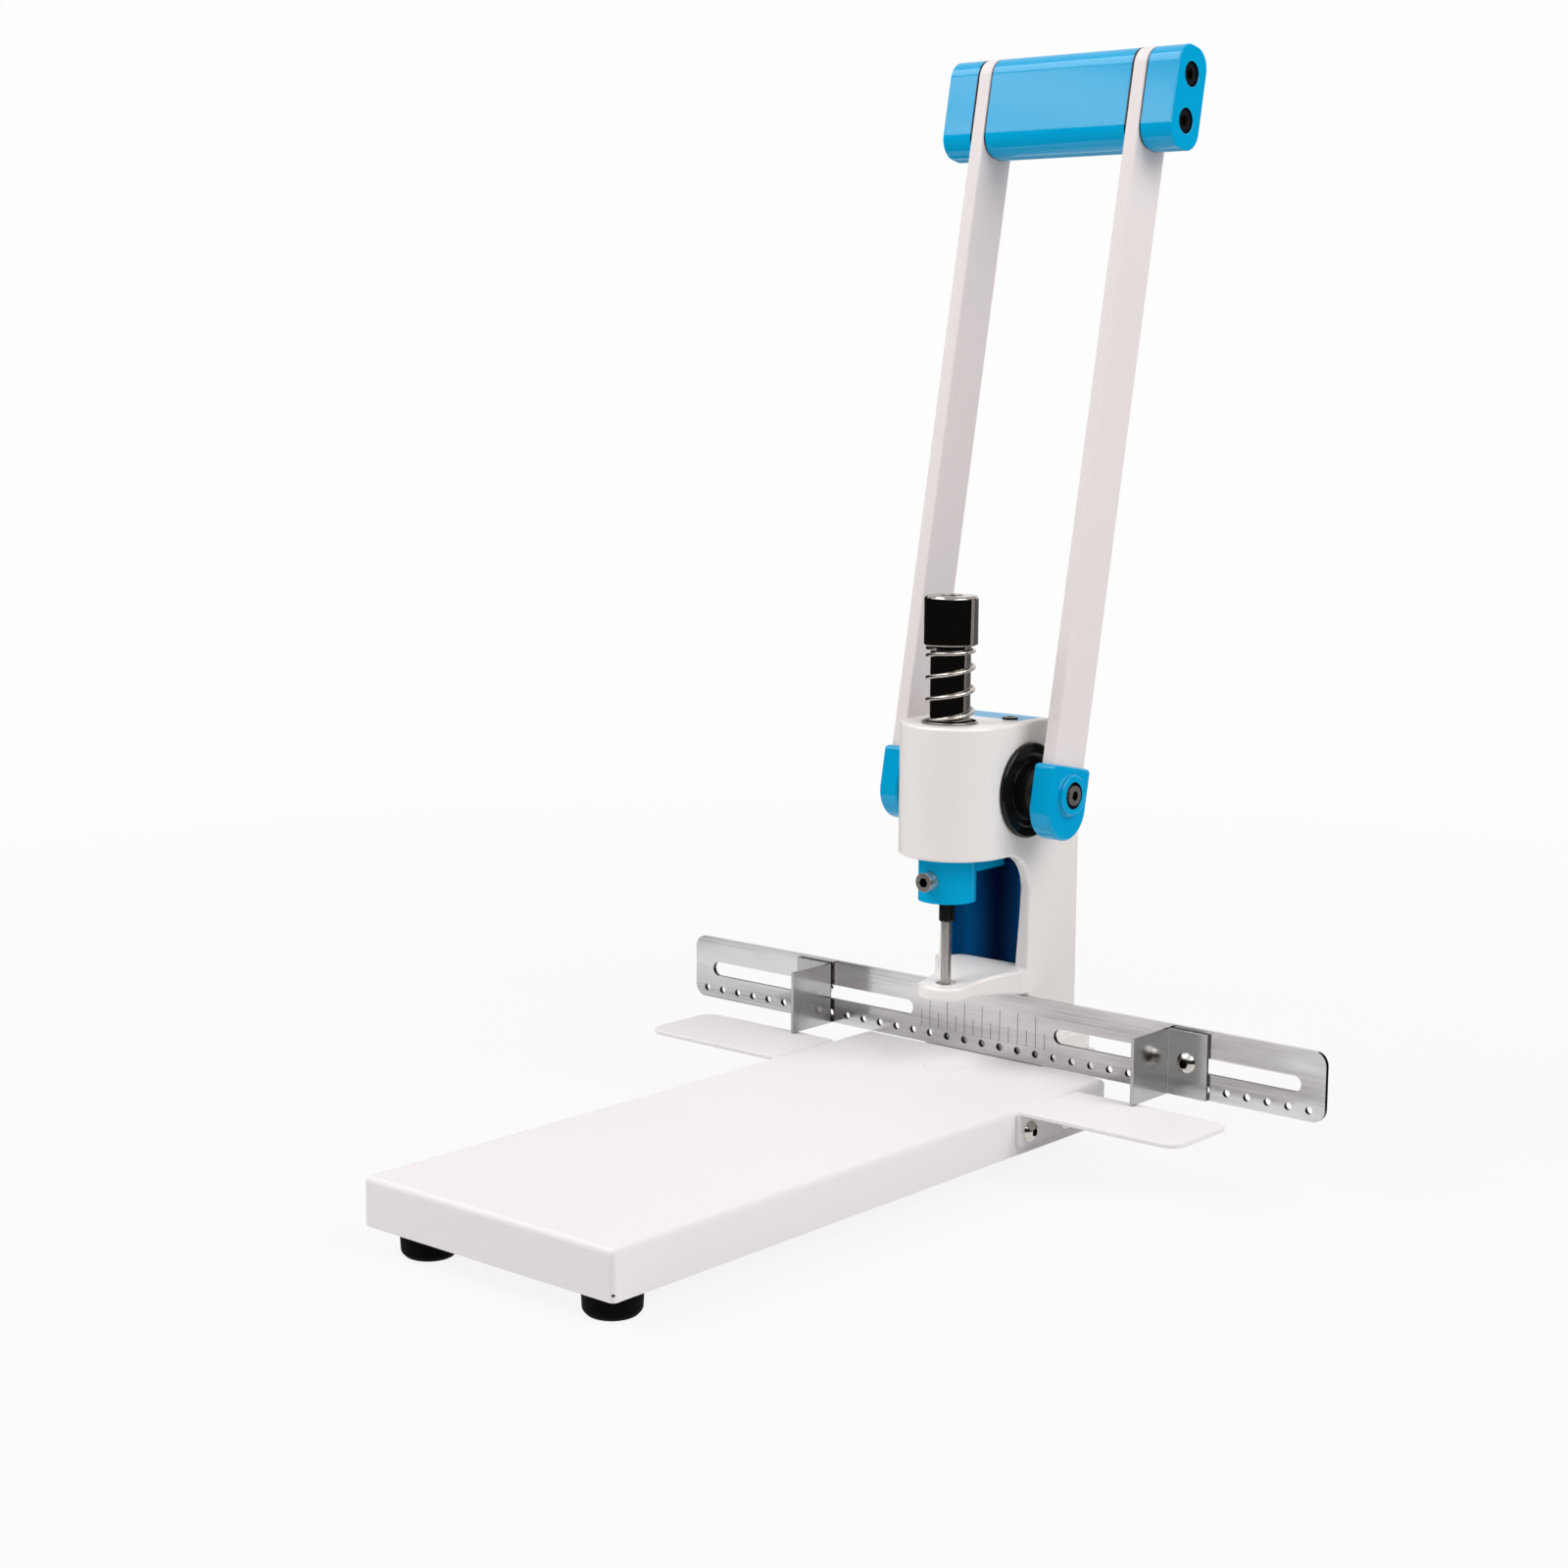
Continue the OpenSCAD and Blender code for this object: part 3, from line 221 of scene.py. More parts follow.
finishes = {
    "pan_white": makeFinish(
        "panWhite", grainSkin,
        {"Tone": (0.885, 0.848, 0.862), "Shade": (0.868, 0.828, 0.843),
         "Cloud Scale": 16.0, "Grain Scale": 1100.0, "Roughness": 0.48, "Spread": 0.16},
        (0.25, 0.05), {"Specular IOR Level": 0.12}),
    "casting_white": makeFinish(
        "castingWhite", grainSkin,
        {"Tone": (0.9, 0.858, 0.835), "Shade": (0.876, 0.834, 0.81),
         "Cloud Scale": 22.0, "Grain Scale": 420.0, "Roughness": 0.34, "Spread": 0.12},
        (0.22, 0.08), {"Coat Weight": 0.15, "Coat Roughness": 0.2}),
    "arm_white": makeFinish(
        "armWhite", grainSkin,
        {"Tone": (0.825, 0.762, 0.755), "Shade": (0.808, 0.744, 0.737),
         "Cloud Scale": 18.0, "Grain Scale": 1000.0, "Roughness": 0.42, "Spread": 0.14},
        (0.22, 0.05), {"Specular IOR Level": 0.12}),
    # the blue enamel's near-black second tone is painted shade in the boots' and caps' recesses, and a
    # painted shadow line at the grip's joints with the arms
    "blue_enamel": makeFinish(
        "blueEnamel", grainSkin,
        {"Tone": (0.0005, 0.39, 0.71), "Shade": (0.0005, 0.365, 0.675),
         "Cloud Scale": 30.0, "Grain Scale": 700.0, "Roughness": 0.1, "Spread": 0.05,
         "Cut And Shade Tone": (0.0, 0.012, 0.03)},
        (0.06, 0.03), {"Specular IOR Level": 0.3}),
    "blue_cover": makeFinish(
        "blueCover", grainSkin,
        {"Tone": (0.002, 0.36, 0.68), "Shade": (0.002, 0.335, 0.645),
         "Cloud Scale": 30.0, "Grain Scale": 900.0, "Roughness": 0.32, "Spread": 0.1},
        (0.2, 0.04), {"Specular IOR Level": 0.4}),
    "stainless": makeFinish(
        "stainlessSheet", dragSkin,
        {"Tone": (0.68, 0.67, 0.67), "Shade": (0.55, 0.545, 0.545), "Cloud Scale": 40.0,
         "Stretch": (12.0, 300.0, 1900.0), "Roughness": 0.16, "Spread": 0.16},
        (0.1, 0.02), {"Metallic": 1.0}),
    "bright_screw": makeFinish(
        "brightScrew", dragSkin,
        {"Tone": (0.62, 0.59, 0.55), "Shade": (0.46, 0.43, 0.4), "Cloud Scale": 250.0,
         "Stretch": (500.0, 500.0, 500.0), "Roughness": 0.16, "Spread": 0.12, "Cut And Shade Tone": (0.01, 0.01, 0.01)},
        (0.1, 0.02), {"Metallic": 1.0}),
    "black_oxide": makeFinish(
        "blackOxide", dragSkin,
        {"Tone": (0.012, 0.012, 0.013), "Shade": (0.006, 0.006, 0.007), "Cloud Scale": 300.0,
         "Stretch": (800.0, 800.0, 800.0), "Roughness": 0.26, "Spread": 0.12,
         "Cut And Shade Tone": (0.003, 0.003, 0.003)},
        (0.15, 0.03), {"Specular IOR Level": 0.15}),
    "bearing_black": makeFinish(
        "bearingBlack", grainSkin,
        {"Tone": (0.004, 0.004, 0.004), "Shade": (0.007, 0.0065, 0.006),
         "Cloud Scale": 60.0, "Grain Scale": 1400.0, "Roughness": 0.18, "Spread": 0.08},
        (0.1, 0.03), {"Specular IOR Level": 0.25}),
    "dark_chrome": makeFinish(
        "darkChrome", dragSkin,
        {"Tone": (0.33, 0.31, 0.29), "Shade": (0.26, 0.245, 0.225), "Cloud Scale": 60.0,
         "Stretch": (20.0, 20.0, 2500.0), "Roughness": 0.07, "Spread": 0.06},
        (0.05, 0.01), {"Metallic": 1.0}),
    "foot_rubber": makeFinish(
        "footRubber", grainSkin,
        {"Tone": (0.002, 0.002, 0.002), "Shade": (0.005, 0.005, 0.005),
         "Cloud Scale": 120.0, "Grain Scale": 1800.0, "Roughness": 0.6, "Spread": 0.2},
        (0.4, 0.06), {"Specular IOR Level": 0.03}),
    "bush_brass": makeFinish(
        "bushBronze", dragSkin,
        {"Tone": (0.62, 0.42, 0.17), "Shade": (0.5, 0.33, 0.13), "Cloud Scale": 120.0,
         "Stretch": (30.0, 30.0, 2500.0), "Roughness": 0.25, "Spread": 0.12},
        (0.1, 0.02), {"Metallic": 1.0}),
    "pad_white": makeFinish(
        "padWhite", grainSkin,
        {"Tone": (0.88, 0.845, 0.858), "Shade": (0.864, 0.826, 0.84),
         "Cloud Scale": 80.0, "Grain Scale": 1600.0, "Roughness": 0.5, "Spread": 0.15},
        (0.3, 0.05), {"Specular IOR Level": 0.4}),
}
# the ruler's steel: banded clouds drift its tone far down towards Shade, partly uneven polish and partly
# painted dark reflection; its cut faces are near black
rulerSteel = makeFinish(
    "rulerSteel", dragSkin,
    {"Tone": (0.71, 0.7, 0.7), "Shade": (0.2, 0.194, 0.194), "Cloud Scale": 17.0, "Band": (0.6, 1.0, 4.0),
     "Stretch": (12.0, 300.0, 1900.0), "Roughness": 0.15, "Spread": 0.16,
     "Cut And Shade Tone": (0.03, 0.029, 0.028)},
    (0.1, 0.02), {"Metallic": 1.0})
# a deep navy: the liner's blue darkened by painted shade of the throat
linerShadedBlue = makeFinish(
    "linerShadedBlue", grainSkin,
    {"Tone": (0.0, 0.004, 0.028), "Shade": (0.0, 0.003, 0.02),
     "Cloud Scale": 30.0, "Grain Scale": 900.0, "Roughness": 0.24, "Spread": 0.08},
    (0.2, 0.04), {"Specular IOR Level": 0.02})
stopSteel = makeFinish(
    "stopSteel", dragSkin,
    {"Tone": (0.5, 0.498, 0.5), "Shade": (0.38, 0.378, 0.38), "Cloud Scale": 60.0,
     "Stretch": (300.0, 300.0, 1900.0), "Roughness": 0.17, "Spread": 0.14, "Cut And Shade Tone": (0.1, 0.098, 0.095)},
    (0.1, 0.02), {"Metallic": 1.0})
pinSteel = makeFinish(
    "pinSteel", dragSkin,
    {"Tone": (0.56, 0.535, 0.51), "Shade": (0.42, 0.395, 0.37), "Cloud Scale": 90.0,
     "Stretch": (60.0, 60.0, 2500.0), "Roughness": 0.24, "Spread": 0.1},
    (0.08, 0.02), {"Metallic": 1.0})
socketSteel = makeFinish(
    "socketSteel", dragSkin,
    {"Tone": (0.72, 0.675, 0.63), "Shade": (0.5, 0.46, 0.43), "Cloud Scale": 250.0,
     "Stretch": (500.0, 500.0, 500.0), "Roughness": 0.2, "Spread": 0.12, "Cut And Shade Tone": (0.006, 0.006, 0.006)},
    (0.1, 0.02), {"Metallic": 0.85})
springSteel = makeFinish(
    "springSteel", dragSkin,
    {"Tone": (0.62, 0.58, 0.53), "Shade": (0.45, 0.41, 0.37), "Cloud Scale": 90.0,
     "Stretch": (300.0, 300.0, 900.0), "Roughness": 0.17, "Spread": 0.12},
    (0.1, 0.02), {"Metallic": 1.0})
markGrey = makeFinish(
    "markGrey", grainSkin,
    {"Tone": (0.16, 0.16, 0.16), "Shade": (0.1, 0.1, 0.1),
     "Cloud Scale": 200.0, "Grain Scale": 2500.0, "Roughness": 0.5, "Spread": 0.2},
    (0.2, 0.02), {"Metallic": 0.5})


# painted light: the liner's blue grows paler towards its sides, standing for light and reflection that reach
# it past the punch; millimetres from the middle
linerPaintedLight = {"from": 4.0, "left": -17.0, "right": 26.0, "tone": (0.0, 0.07, 0.22)}


def paintLinerLight(look):
    tree = linerShadedBlue.node_tree
    target = tree.nodes["Principled BSDF"].inputs["Base Color"]
    place = addNode(tree, "ShaderNodeTexCoord").outputs["Object"]
    across = addNode(tree, "ShaderNodeSeparateXYZ", {0: place}).outputs["X"]
    sides = []
    for side in ("left", "right"):
        span = {"Value": across, "From Min": look["from"] * mm, "From Max": look[side] * mm}
        fade = addNode(tree, "ShaderNodeMapRange", span, interpolation_type="SMOOTHSTEP")
        sides.append(fade.outputs["Result"])
    pale = addNode(tree, "ShaderNodeMath", {0: sides[0], 1: sides[1]}, operation="MAXIMUM").outputs[0]
    tree.links.new(mixTones(tree, pale, target.links[0].from_socket, (*look["tone"], 1)), target)


paintLinerLight(linerPaintedLight)
for name, node in nodes.items():
    node.data.materials.clear()
    node.data.materials.append(finishes[slotOf[name]])
print("finishes made, and given to", len(nodes), "nodes")


# dressing: copies of the solids with broken edges
smoothAngle = 35  # degrees, above which an edge stays sharp
flatAngle = 0.3  # degrees, below which two faces are one
weldGap = 0.001  # millimetres, below which two corners are one
rimSize = 13  # millimetres, up to which a run of sharp edges is a rim, where a piece names no other size
bevelSegments = 3  # where a piece names no other number
weightLayer = "bevel_weight_edge"


# a finished mesh becomes a piece that rides on a body
def settle(bm, name, body, finish, replaced=(), rounding=None):
    mesh = bpy.data.meshes.new(name)
    bm.to_mesh(mesh)
    bm.free()
    if "custom_normal" in mesh.attributes:
        mesh.attributes.remove(mesh.attributes["custom_normal"])
    mesh.shade_smooth()
    mesh.set_sharp_from_angle(angle=math.radians(smoothAngle))
    mesh.materials.clear()
    mesh.materials.append(finish)
    piece = bpy.data.objects.new(name, mesh)
    scene.collection.objects.link(piece)
    if rounding:
        bevel = piece.modifiers.new("brokenEdges", "BEVEL")
        bevel.limit_method = "WEIGHT"
        bevel.offset_type = "OFFSET"
        bevel.width = rounding["width"] * mm
        bevel.segments = rounding["segments"]
        bevel.profile = 0.5
        bevel.material = -1
        bevel.use_clamp_overlap = rounding["clamp"]
    weighted = piece.modifiers.new("flatFaces", "WEIGHTED_NORMAL")
    weighted.keep_sharp = True
    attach(piece, body)
    if replaced:
        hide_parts(*replaced)
    return piece


# a copy of a CAD solid, with its triangles joined to flat faces
def looseCopy(node):
    bm = bmesh.new()
    bm.from_mesh(nodes[node].data)
    bmesh.ops.remove_doubles(bm, verts=bm.verts, dist=weldGap * mm)
    bmesh.ops.dissolve_limit(bm, angle_limit=math.radians(flatAngle), verts=bm.verts, edges=bm.edges)
    return bm


# faces round an opening are divided along one plane, so that no stray edge runs into their corners
def divide(bm, place, normal):
    slack = 0.01 * mm
    bmesh.ops.bisect_plane(bm, geom=bm.verts[:] + bm.edges[:] + bm.faces[:], plane_co=place, plane_no=normal,
                           dist=slack)
    strays = [e for e in bm.edges if len(e.link_faces) == 2 and e.calc_face_angle() < math.radians(flatAngle)
              and any(abs((vert.co - place).dot(normal)) > 2 * slack for vert in e.verts)]
    bmesh.ops.dissolve_edges(bm, edges=strays, use_verts=False)


# sharp edges that hang together, so that a rim is told from a long edge
def sharpRuns(bm):
    left = [e for e in bm.edges if len(e.link_faces) == 2 and e.calc_face_angle() > math.radians(smoothAngle)]
    waiting = set(left)
    runs = []
    for first in left:
        if first not in waiting:
            continue
        waiting.remove(first)
        run, front = [], [first]
        while front:
            edge = front.pop()
            run.append(edge)
            for vert in edge.verts:
                for near in vert.link_edges:
                    if near in waiting:
                        waiting.remove(near)
                        front.append(near)
        runs.append(run)
    return runs


def runSize(run):
    spots = [vert.co for edge in run for vert in edge.verts]
    return max(max(s[k] for s in spots) - min(s[k] for s in spots) for k in range(3))


def plainEdge(edge, rim, look):
    return look.get("rim", 0) if rim else look["edge"]


# faces between small rims alone: sockets and recesses
def inRecess(face, rimVerts):
    return all(vert in rimVerts for vert in face.verts)


# a copy of a CAD solid with its edges broken; choose gives each sharp edge its radius in millimetres,
# the face test, where given, picks the faces with the dark cut-and-shade tone, partly cut edges and partly
# painted shade; seams are places along X where the faces are divided for it, and middle is a plane that the
# faces are divided along
def dress(node, look, finish=None, choose=plainEdge, isCutAndShade=None, seams=(), middle=None):
    bm = looseCopy(node)
    if middle:
        divide(bm, *middle)
    for seam in seams:
        bmesh.ops.bisect_plane(bm, geom=bm.verts[:] + bm.edges[:] + bm.faces[:], plane_co=(seam, 0, 0),
                               plane_no=(1, 0, 0))
    weights = bm.edges.layers.float.new(weightLayer)
    widths = {}
    rimVerts = set()
    for run in sharpRuns(bm):
        rim = runSize(run) <= look.get("rimSize", rimSize) * mm
        for edge in run:
            widths[edge] = choose(edge, rim, look)
            rimVerts.update(edge.verts if rim else ())
    if isCutAndShade:
        cutAndShadeMarks = bm.faces.layers.float.new(cutAndShadeLayer)
        for face in bm.faces:
            face[cutAndShadeMarks] = float(isCutAndShade(face, rimVerts))
    widest = max(widths.values())
    for edge, width in widths.items():
        edge[weights] = width / widest
    rounding = {"width": widest, "segments": look.get("segments", bevelSegments),
                "clamp": look.get("clamp", True)}
    return settle(bm, node + "_skin", nodes[node]["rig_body"], finish or finishes[slotOf[node]],
                  (node,), rounding)


# base: folded pan, wings and feet; radii are millimetres
panLook = {"edge": 0.5, "rim": 0.15}
wingLook = {"edge": 0.6, "rim": 0.2}
footLook = {"edge": 0.8, "rim": 0.3, "rimSize": 3}
dress("base_pan", panLook)
for side in ("left", "right"):
    dress("wing_" + side, wingLook)
for foot in ("front_left", "front_right", "rear_left", "rear_right"):
    dress("foot_" + foot, footLook)
print("base dressed")

# ruler and stops: thin steel sheet
rulerLook = {"edge": 0.2, "rim": 0.15}
stopLook = {"edge": 0.2, "rim": 0.15, "endArea": 60}  # endArea, in square millimetres, is above a leg's end
rulerLow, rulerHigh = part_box("ruler")
leaning, square, plain = 0.5, 0.9, 0.999  # a normal's part along an axis that its face is turned to


# painted shade and a darker sheared edge: the ruler's ends, slots and holes are near black, its top keeps the
# polished tone
def rulerCutAndShade(face, rimVerts):
    onTop = face.normal.z > leaning and face.calc_center_median().z > rulerHigh.z - rulerLook["edge"] * mm
    return abs(face.normal.y) < leaning and not onTop


# a stop's top and bottom and the end of its leg take the dark tone: partly the sheared edge, and painted
# shadow and dark reflection at the leg's end
def stopCutAndShade(face, rimVerts):
    legEnd = abs(face.normal.x) > square and face.calc_area() < stopLook["endArea"] * mm * mm
    return legEnd or abs(face.normal.z) > leaning


# the left stop's bend takes it too: a painted dark stripe of shadow at the stop's root
def leftStopCutAndShade(face, rimVerts):
    return stopCutAndShade(face, rimVerts) or max(abs(part) for part in face.normal) < plain


dress("ruler", rulerLook, rulerSteel, isCutAndShade=rulerCutAndShade)
dress("stop_left_plate", stopLook, stopSteel, isCutAndShade=leftStopCutAndShade)
dress("stop_right_plate", stopLook, stopSteel, isCutAndShade=stopCutAndShade)

# graduations between the slots: long lines over the holes, short ones between them; millimetres
markLook = {
    "pitch": 5, "count": 15, "width": 0.28, "proud": 0.03,
    "low": 7.6, "longTop": 22.0, "shortTop": 15.0,  # from the ruler's lower edge
}


def markRuler(look):
    bm = bmesh.new()
    half = look["count"] // 2
    for i in range(-half, half + 1):
        top = look["shortTop"] if i % 2 else look["longTop"]
        size = Vector((look["width"], 2 * look["proud"], top - look["low"])) * mm
        middle = Vector((i * look["pitch"] * mm, rulerLow.y, rulerLow.z + (top + look["low"]) / 2 * mm))
        bmesh.ops.create_cube(bm, size=1.0, matrix=Matrix.Translation(middle) @ Matrix.Diagonal((*size, 1)))
    return settle(bm, "ruler_marks", "frame", markGrey)


markRuler(markLook)
print("ruler and stops dressed")

# column and head, covers, bearings
castingLook = {
    "edge": 1.4, "rim": 0.25, "segments": 4, "clamp": False,
    "bore": 21.0, "cup": 14.0,  # radii round the lever's and the punch's axis within which edges are small
    "flareShare": 0.5,  # of the room between the tongue's edge and the ruler
}
coverLook = {"edge": 0.5, "rim": 0.15}
linerLook = {"edge": 0.4}
bearingLook = {"edge": 0.4, "rimSize": 3}
cupLook = {"edge": 0.25, "rimSize": 3}
leverAxis = Vector(joints["lever_swing"]["pos_m"])
linerLow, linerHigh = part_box("throat_liner")
coverLow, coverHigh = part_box("back_cover")
ramLow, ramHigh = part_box("rack_ram")
punchAxis = (ramLow + ramHigh) / 2


# the casting's outside is well rounded, the seats of other pieces are not
def castingEdge(edge, rim, look):
    spots = [vert.co for vert in edge.verts]
    slack = 0.2 * mm
    inCavity = all(abs(s.x) < linerHigh.x + slack and s.y > linerLow.y - slack for s in spots)
    inPocket = all(abs(s.x) < coverHigh.x + slack and s.y > coverLow.y - slack and s.z > ramHigh.z / 2
                   for s in spots)
    if inCavity or inPocket:
        return 0
    room = rulerLow.y - max(s.y for s in spots)
    if all(s.z < linerLow.z + slack and s.y < rulerLow.y + slack for s in spots):  # tongue
        return look["rim"] if rim else min(look["edge"], look["flareShare"] * max(room, 0) / mm)
    nearBore = all((s - leverAxis).yz.length < look["bore"] * mm for s in spots)
    nearCup = all((s - punchAxis).xy.length < look["cup"] * mm for s in spots)
    return look["rim"] if rim or nearBore or nearCup else look["edge"]


dress("c_frame", castingLook, choose=castingEdge)
dress("back_cover", coverLook)
dress("throat_liner", linerLook, linerShadedBlue)
dress("spring_cup", cupLook)
for side in ("left", "right"):
    dress("bearing_" + side, bearingLook)
print("column dressed")

# lever: arms, boots, grip
armLook = {"edge": 0.7, "rim": 0.2, "rimSize": 16}
bootLook = {
    "corner": 2.5, "edge": 1.5, "boss": 0.8, "seat": 0.2, "segments": 4, "clamp": False,
    "bossHeight": 2.5, "bossSize": 10.5, "holeSize": 8.0,
}
gripLook = {"edge": 0.5, "rim": 0.3, "seam": 0.8}
bootLow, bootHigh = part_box("boot_right")
armIn, armOut = (spot.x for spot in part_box("arm_right"))
armLean = 10.95  # degrees, back from upright
armDepth = Vector((0, math.cos(math.radians(armLean)), -math.sin(math.radians(armLean))))


# the boot's outline and its boss are rounded, its slot and its holes are not
def bootEdge(edge, rim, look):
    slack = 0.05 * mm
    reach = [abs(vert.co.x) for vert in edge.verts]
    if max(reach) - min(reach) > look["bossSize"] * mm:
        return look["corner"]
    away = max((vert.co - leverAxis).yz.length for vert in edge.verts)
    walls = (bootLow.x, bootHigh.x - look["bossHeight"] * mm, bootHigh.x)
    onWall = any(all(abs(r - wall) < slack for r in reach) for wall in walls)
    if not onWall or away < look["holeSize"] * mm:
        return look["seat"]
    return look["boss"] if away < look["bossSize"] * mm else look["edge"]


# painted shade: the recess round a boot's screw is dark
def bootPaintedShade(face, rimVerts):
    return all((vert.co - leverAxis).yz.length < bootLook["holeSize"] * mm for vert in face.verts)


seamIn, seamOut = armIn - gripLook["seam"] * mm, armOut + gripLook["seam"] * mm
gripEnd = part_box("grip_cap_right")[1].x - gripLook["edge"] * mm


# painted shade too: the recesses in the caps, and a dark ring on the grip at each joint with an arm, where a
# shadow line falls
def gripPaintedShade(face, rimVerts):
    reach = abs(face.calc_center_median().x)
    return seamIn < reach < seamOut or (reach < gripEnd and inRecess(face, rimVerts))


for side in ("left", "right"):
    dress("arm_" + side, armLook)
    dress("boot_" + side, bootLook, choose=bootEdge, isCutAndShade=bootPaintedShade, middle=(leverAxis, armDepth))
dress("grip_cap_left", gripLook, isCutAndShade=gripPaintedShade, seams=(-seamOut,))
dress("grip_cap_right", gripLook, isCutAndShade=gripPaintedShade, seams=(seamOut,))
dress("grip_tube", gripLook, isCutAndShade=gripPaintedShade, seams=(-seamIn, seamIn))
print("lever dressed")

# ram, punch and return spring
capLook = {"edge": 0.35, "rimSize": 3}
holderLook = {"edge": 0.5, "rim": 0.3, "rimSize": 10}
collarLook = {"edge": 0.3, "foot": 1.0, "footHeight": 1.0, "outsideShare": 0.9, "rimSize": 3}
pinLook = {"edge": 0.1, "rimSize": 1}
collarLow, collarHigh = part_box("punch_collar")


# the collar's lower end is drawn in
def collarEdge(edge, rim, look):
    atFoot = all(vert.co.z < collarLow.z + look["footHeight"] * mm for vert in edge.verts)
    outer = look["outsideShare"] * collarHigh.x
    outside = all((vert.co - punchAxis).xy.length > outer for vert in edge.verts)
    return look["foot"] if atFoot and outside else look["edge"]


dress("ram_cap", capLook)
dress("punch_holder", holderLook)
dress("punch_collar", collarLook, choose=collarEdge)
dress("punch_pin", pinLook, pinSteel)

springLook = {
    "wire": 1.75, "radius": 10.3,  # millimetres, the wire's diameter and the coil's mean radius
    "startAngle": -87.0,  # degrees from +X, so that the coils pass the front as in the photo
    "endTurns": 1.0, "endPitch": 2.2, "openTurns": 4.0,
    "sides": 12, "stepsPerTurn": 40,
}


def windSpring(look):
    low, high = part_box("return_spring")
    wire = look["wire"] * mm
    endRise = look["endTurns"] * look["endPitch"] * mm
    openRise = high.z - low.z - wire - 2 * endRise
    start = Vector((punchAxis.x, punchAxis.y, low.z + wire / 2))
    turn = Matrix.Rotation(math.radians(look["startAngle"]), 4, "Z")
    section = (Matrix.Translation(start) @ turn @ Matrix.Translation((look["radius"] * mm, 0, 0))
               @ Matrix.Rotation(math.pi / 2, 4, "X"))
    bm = bmesh.new()
    bmesh.ops.create_circle(bm, cap_ends=False, segments=look["sides"], radius=wire / 2, matrix=section)
    run = list(bm.verts) + list(bm.edges)
    closedEnd = (look["endTurns"], endRise)
    for turns, rise in (closedEnd, (look["openTurns"], openRise), closedEnd):
        steps = round(turns * look["stepsPerTurn"])
        wound = bmesh.ops.spin(bm, geom=run, cent=start, axis=(0, 0, 1), dvec=(0, 0, rise / steps),
                               angle=turns * 2 * math.pi, steps=steps)
        run = wound["geom_last"]
    bmesh.ops.holes_fill(bm, edges=[e for e in bm.edges if e.is_boundary], sides=look["sides"])
    bmesh.ops.recalc_face_normals(bm, faces=bm.faces)
    piece = settle(bm, "return_spring_wire", "frame", springSteel,
                   ("return_spring",))
    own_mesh(piece)
    return piece


windSpring(springLook)
print("ram and spring dressed")

# screws that show
screwLook = {"edge": 0.2, "rim": 0.12, "rimSize": 6}
socketLook = {"edge": 0.5, "rim": 0.12, "rimSize": 6}
# the screws' sockets and recesses take their finish's near-black cut-and-shade tone: painted shade
for node in ("wing_screws", "stop_left_screw", "stop_right_screw", "grip_bolts", "cover_screws", "cap_screw",
             "foot_screws", "frame_bolts"):
    dress(node, screwLook, isCutAndShade=inRecess)
for node in ("boot_screws", "holder_screw"):
    dress(node, socketLook, socketSteel, isCutAndShade=inRecess)
print("screws dressed")


# stage: floor, flags that only reflections see, lamps and world
floorLook = {
    "half": 6.0, "tone": (0.74, 0.74, 0.74), "glow": 0.985,
    "share": 0.9, "near": 0.4, "far": 1.1,  # the glow's share by the punch, whole from far on, in metres
}


def seenRays(tree):
    path = addNode(tree, "ShaderNodeLightPath").outputs
    seen = path["Is Camera Ray"]
    for ray in ("Is Glossy Ray", "Is Transmission Ray"):
        seen = addNode(tree, "ShaderNodeMath", {0: seen, 1: path[ray]}, operation="MAXIMUM").outputs[0]
    return seen


def layFloor(look):
    bm = bmesh.new()
    bmesh.ops.create_grid(bm, x_segments=1, y_segments=1, size=look["half"])
    mesh = bpy.data.meshes.new("floor")
    bm.to_mesh(mesh)
    bm.free()
    material = bpy.data.materials.new("paleFloor")
    material.use_nodes = True
    tree = material.node_tree
    tree.nodes.clear()
    glow = addNode(tree, "ShaderNodeEmission", {"Strength": look["glow"]})
    matt = addNode(tree, "ShaderNodeBsdfDiffuse", {"Color": (*look["tone"], 1)})
    spot = addNode(tree, "ShaderNodeTexCoord").outputs["Object"]
    away = addNode(tree, "ShaderNodeVectorMath", {0: spot}, operation="LENGTH").outputs["Value"]
    span = {"Value": away, "From Min": look["near"], "From Max": look["far"],
            "To Min": look["share"], "To Max": 1.0}
    fade = addNode(tree, "ShaderNodeMapRange", span).outputs["Result"]
    share = addNode(tree, "ShaderNodeMath", {0: seenRays(tree), 1: fade}, operation="MULTIPLY").outputs[0]
    mix = addNode(tree, "ShaderNodeMixShader", {0: share, 1: matt.outputs[0], 2: glow.outputs[0]})
    addNode(tree, "ShaderNodeOutputMaterial", {"Surface": mix.outputs[0]})
    mesh.materials.append(material)
    floor = bpy.data.objects.new("floor", mesh)
    scene.collection.objects.link(floor)


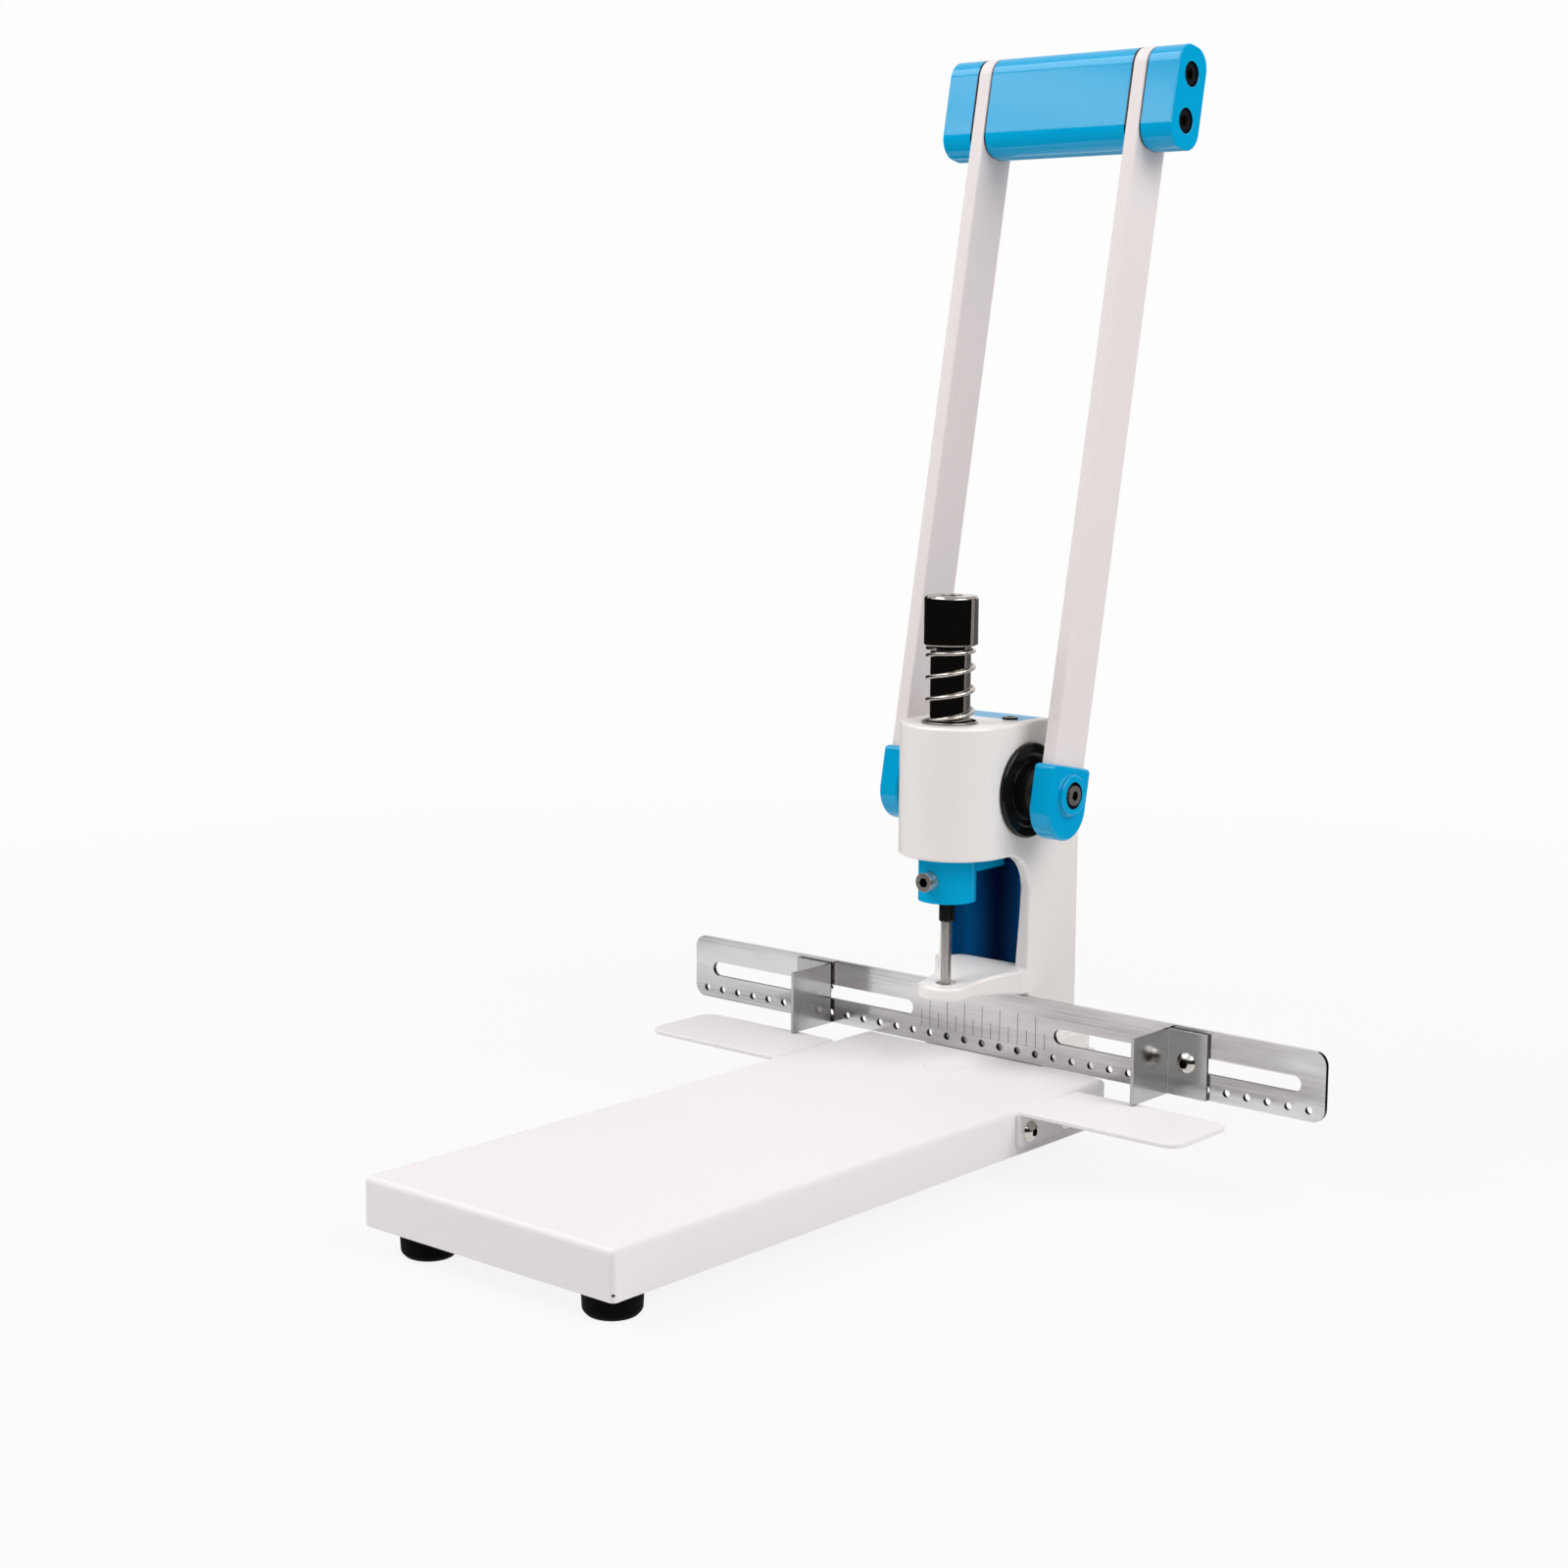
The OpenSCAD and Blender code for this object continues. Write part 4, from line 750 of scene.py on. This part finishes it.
# curved screens round the punch, seen in reflections alone: the radius and height of each screen's foot
# and head are metres, and its ends are degrees round from the front to the right
flagSteps = 48
flagLooks = {
    "frontScreen": {"foot": (0.95, 0.002), "head": (0.95, 0.62), "from": -130.0, "to": 147.0, "glow": 0.012},
    "gripScreen": {"foot": (0.95, 0.6), "head": (0.95, 0.81), "from": -90.0, "to": 10.0, "glow": 0.012},
    "endScreen": {"foot": (0.95, 0.24), "head": (0.95, 0.7), "from": 130.0, "to": 166.0, "glow": 0.012},
    "floorScreen": {"foot": (0.42, 0.003), "head": (0.95, 0.003), "from": -130.0, "to": 166.0, "glow": 0.015},
    "backScreen": {"foot": (0.95, 0.002), "head": (0.95, 0.19), "from": 147.0, "to": 228.0, "glow": 0.22},
    "stopCard": {"foot": (0.27, 0.002), "head": (0.27, 0.04), "from": 95.0, "to": 180.0, "glow": 0.02},
    "lowPanel": {"foot": (0.95, 0.832), "head": (0.95, 0.851), "from": -75.0, "to": -8.0, "glow": 7.0},
    "leftPanel": {"foot": (0.95, 0.864), "head": (0.95, 0.93), "from": -75.0, "to": -8.0, "glow": 4.8},
    "roofPanel": {"foot": (0.95, 1.06), "head": (0.4, 1.5), "from": -80.0, "to": 0.0, "glow": 5.0},
    "edgePanel": {"foot": (0.95, 0.5), "head": (0.95, 0.8), "from": 48.0, "to": 74.0, "glow": 6.0},
    "rightPanel": {"foot": (0.95, 0.7), "head": (0.95, 1.1), "from": 78.0, "to": 115.0, "glow": 5.0},
}


def hangFlag(name, look):
    start, sweep = math.radians(look["from"]), math.radians(look["to"] - look["from"])
    out = Vector((math.sin(start), -math.cos(start), 0))
    axis = Vector((punchAxis.x, punchAxis.y, 0))
    bm = bmesh.new()
    ends = [bm.verts.new(axis + out * radius + Vector((0, 0, height)))
            for radius, height in (look["foot"], look["head"])]
    edge = bm.edges.new(ends)
    bmesh.ops.spin(bm, geom=ends + [edge], cent=axis, axis=(0, 0, 1), angle=sweep, steps=flagSteps)
    mesh = bpy.data.meshes.new(name)
    bm.to_mesh(mesh)
    bm.free()
    material = bpy.data.materials.new(name)
    material.use_nodes = True
    tree = material.node_tree
    tree.nodes.clear()
    glow = addNode(tree, "ShaderNodeEmission", {"Strength": look["glow"]})
    addNode(tree, "ShaderNodeOutputMaterial", {"Surface": glow.outputs[0]})
    mesh.materials.append(material)
    flag = bpy.data.objects.new(name, mesh)
    scene.collection.objects.link(flag)
    flag.visible_camera = False
    flag.visible_diffuse = False
    flag.visible_transmission = False
    flag.visible_shadow = False


# lamps: places and sizes are metres, powers watts, and a mirrored lamp shows in reflections
lampLooks = {
    "leftLamp": {"place": (-1.2, -1.0, 1.6), "size": 1.4, "power": 29.5, "mirrored": False},
    "rightLamp": {"place": (1.5, 0.1, 1.45), "size": 1.4, "power": 22.5, "mirrored": True},
}
lampTarget = Vector((0, 0.03, 0.2))


def hangLamp(name, look):
    data = bpy.data.lights.new(name, "AREA")
    data.size = look["size"]
    data.energy = look["power"]
    lamp = bpy.data.objects.new(name, data)
    lamp.location = look["place"]
    lamp.visible_glossy = look["mirrored"]
    lamp.rotation_euler = (lampTarget - Vector(look["place"])).to_track_quat("-Z", "Y").to_euler()
    scene.collection.objects.link(lamp)


worldLook = {"seen": 0.985, "ambient": 0.36}


def lightWorld(look):
    world = bpy.data.worlds.new("studio")
    scene.world = world
    world.use_nodes = True
    tree = world.node_tree
    tree.nodes.clear()
    seen = addNode(tree, "ShaderNodeBackground", {"Color": (1, 1, 1, 1), "Strength": look["seen"]})
    ambient = addNode(tree, "ShaderNodeBackground", {"Color": (1, 1, 1, 1), "Strength": look["ambient"]})
    mix = addNode(tree, "ShaderNodeMixShader", {0: seenRays(tree), 1: ambient.outputs[0], 2: seen.outputs[0]})
    addNode(tree, "ShaderNodeOutputWorld", {"Surface": mix.outputs[0]})


layFloor(floorLook)
for name, look in flagLooks.items():
    hangFlag(name, look)
for name, look in lampLooks.items():
    hangLamp(name, look)
lightWorld(worldLook)
print("stage lit")
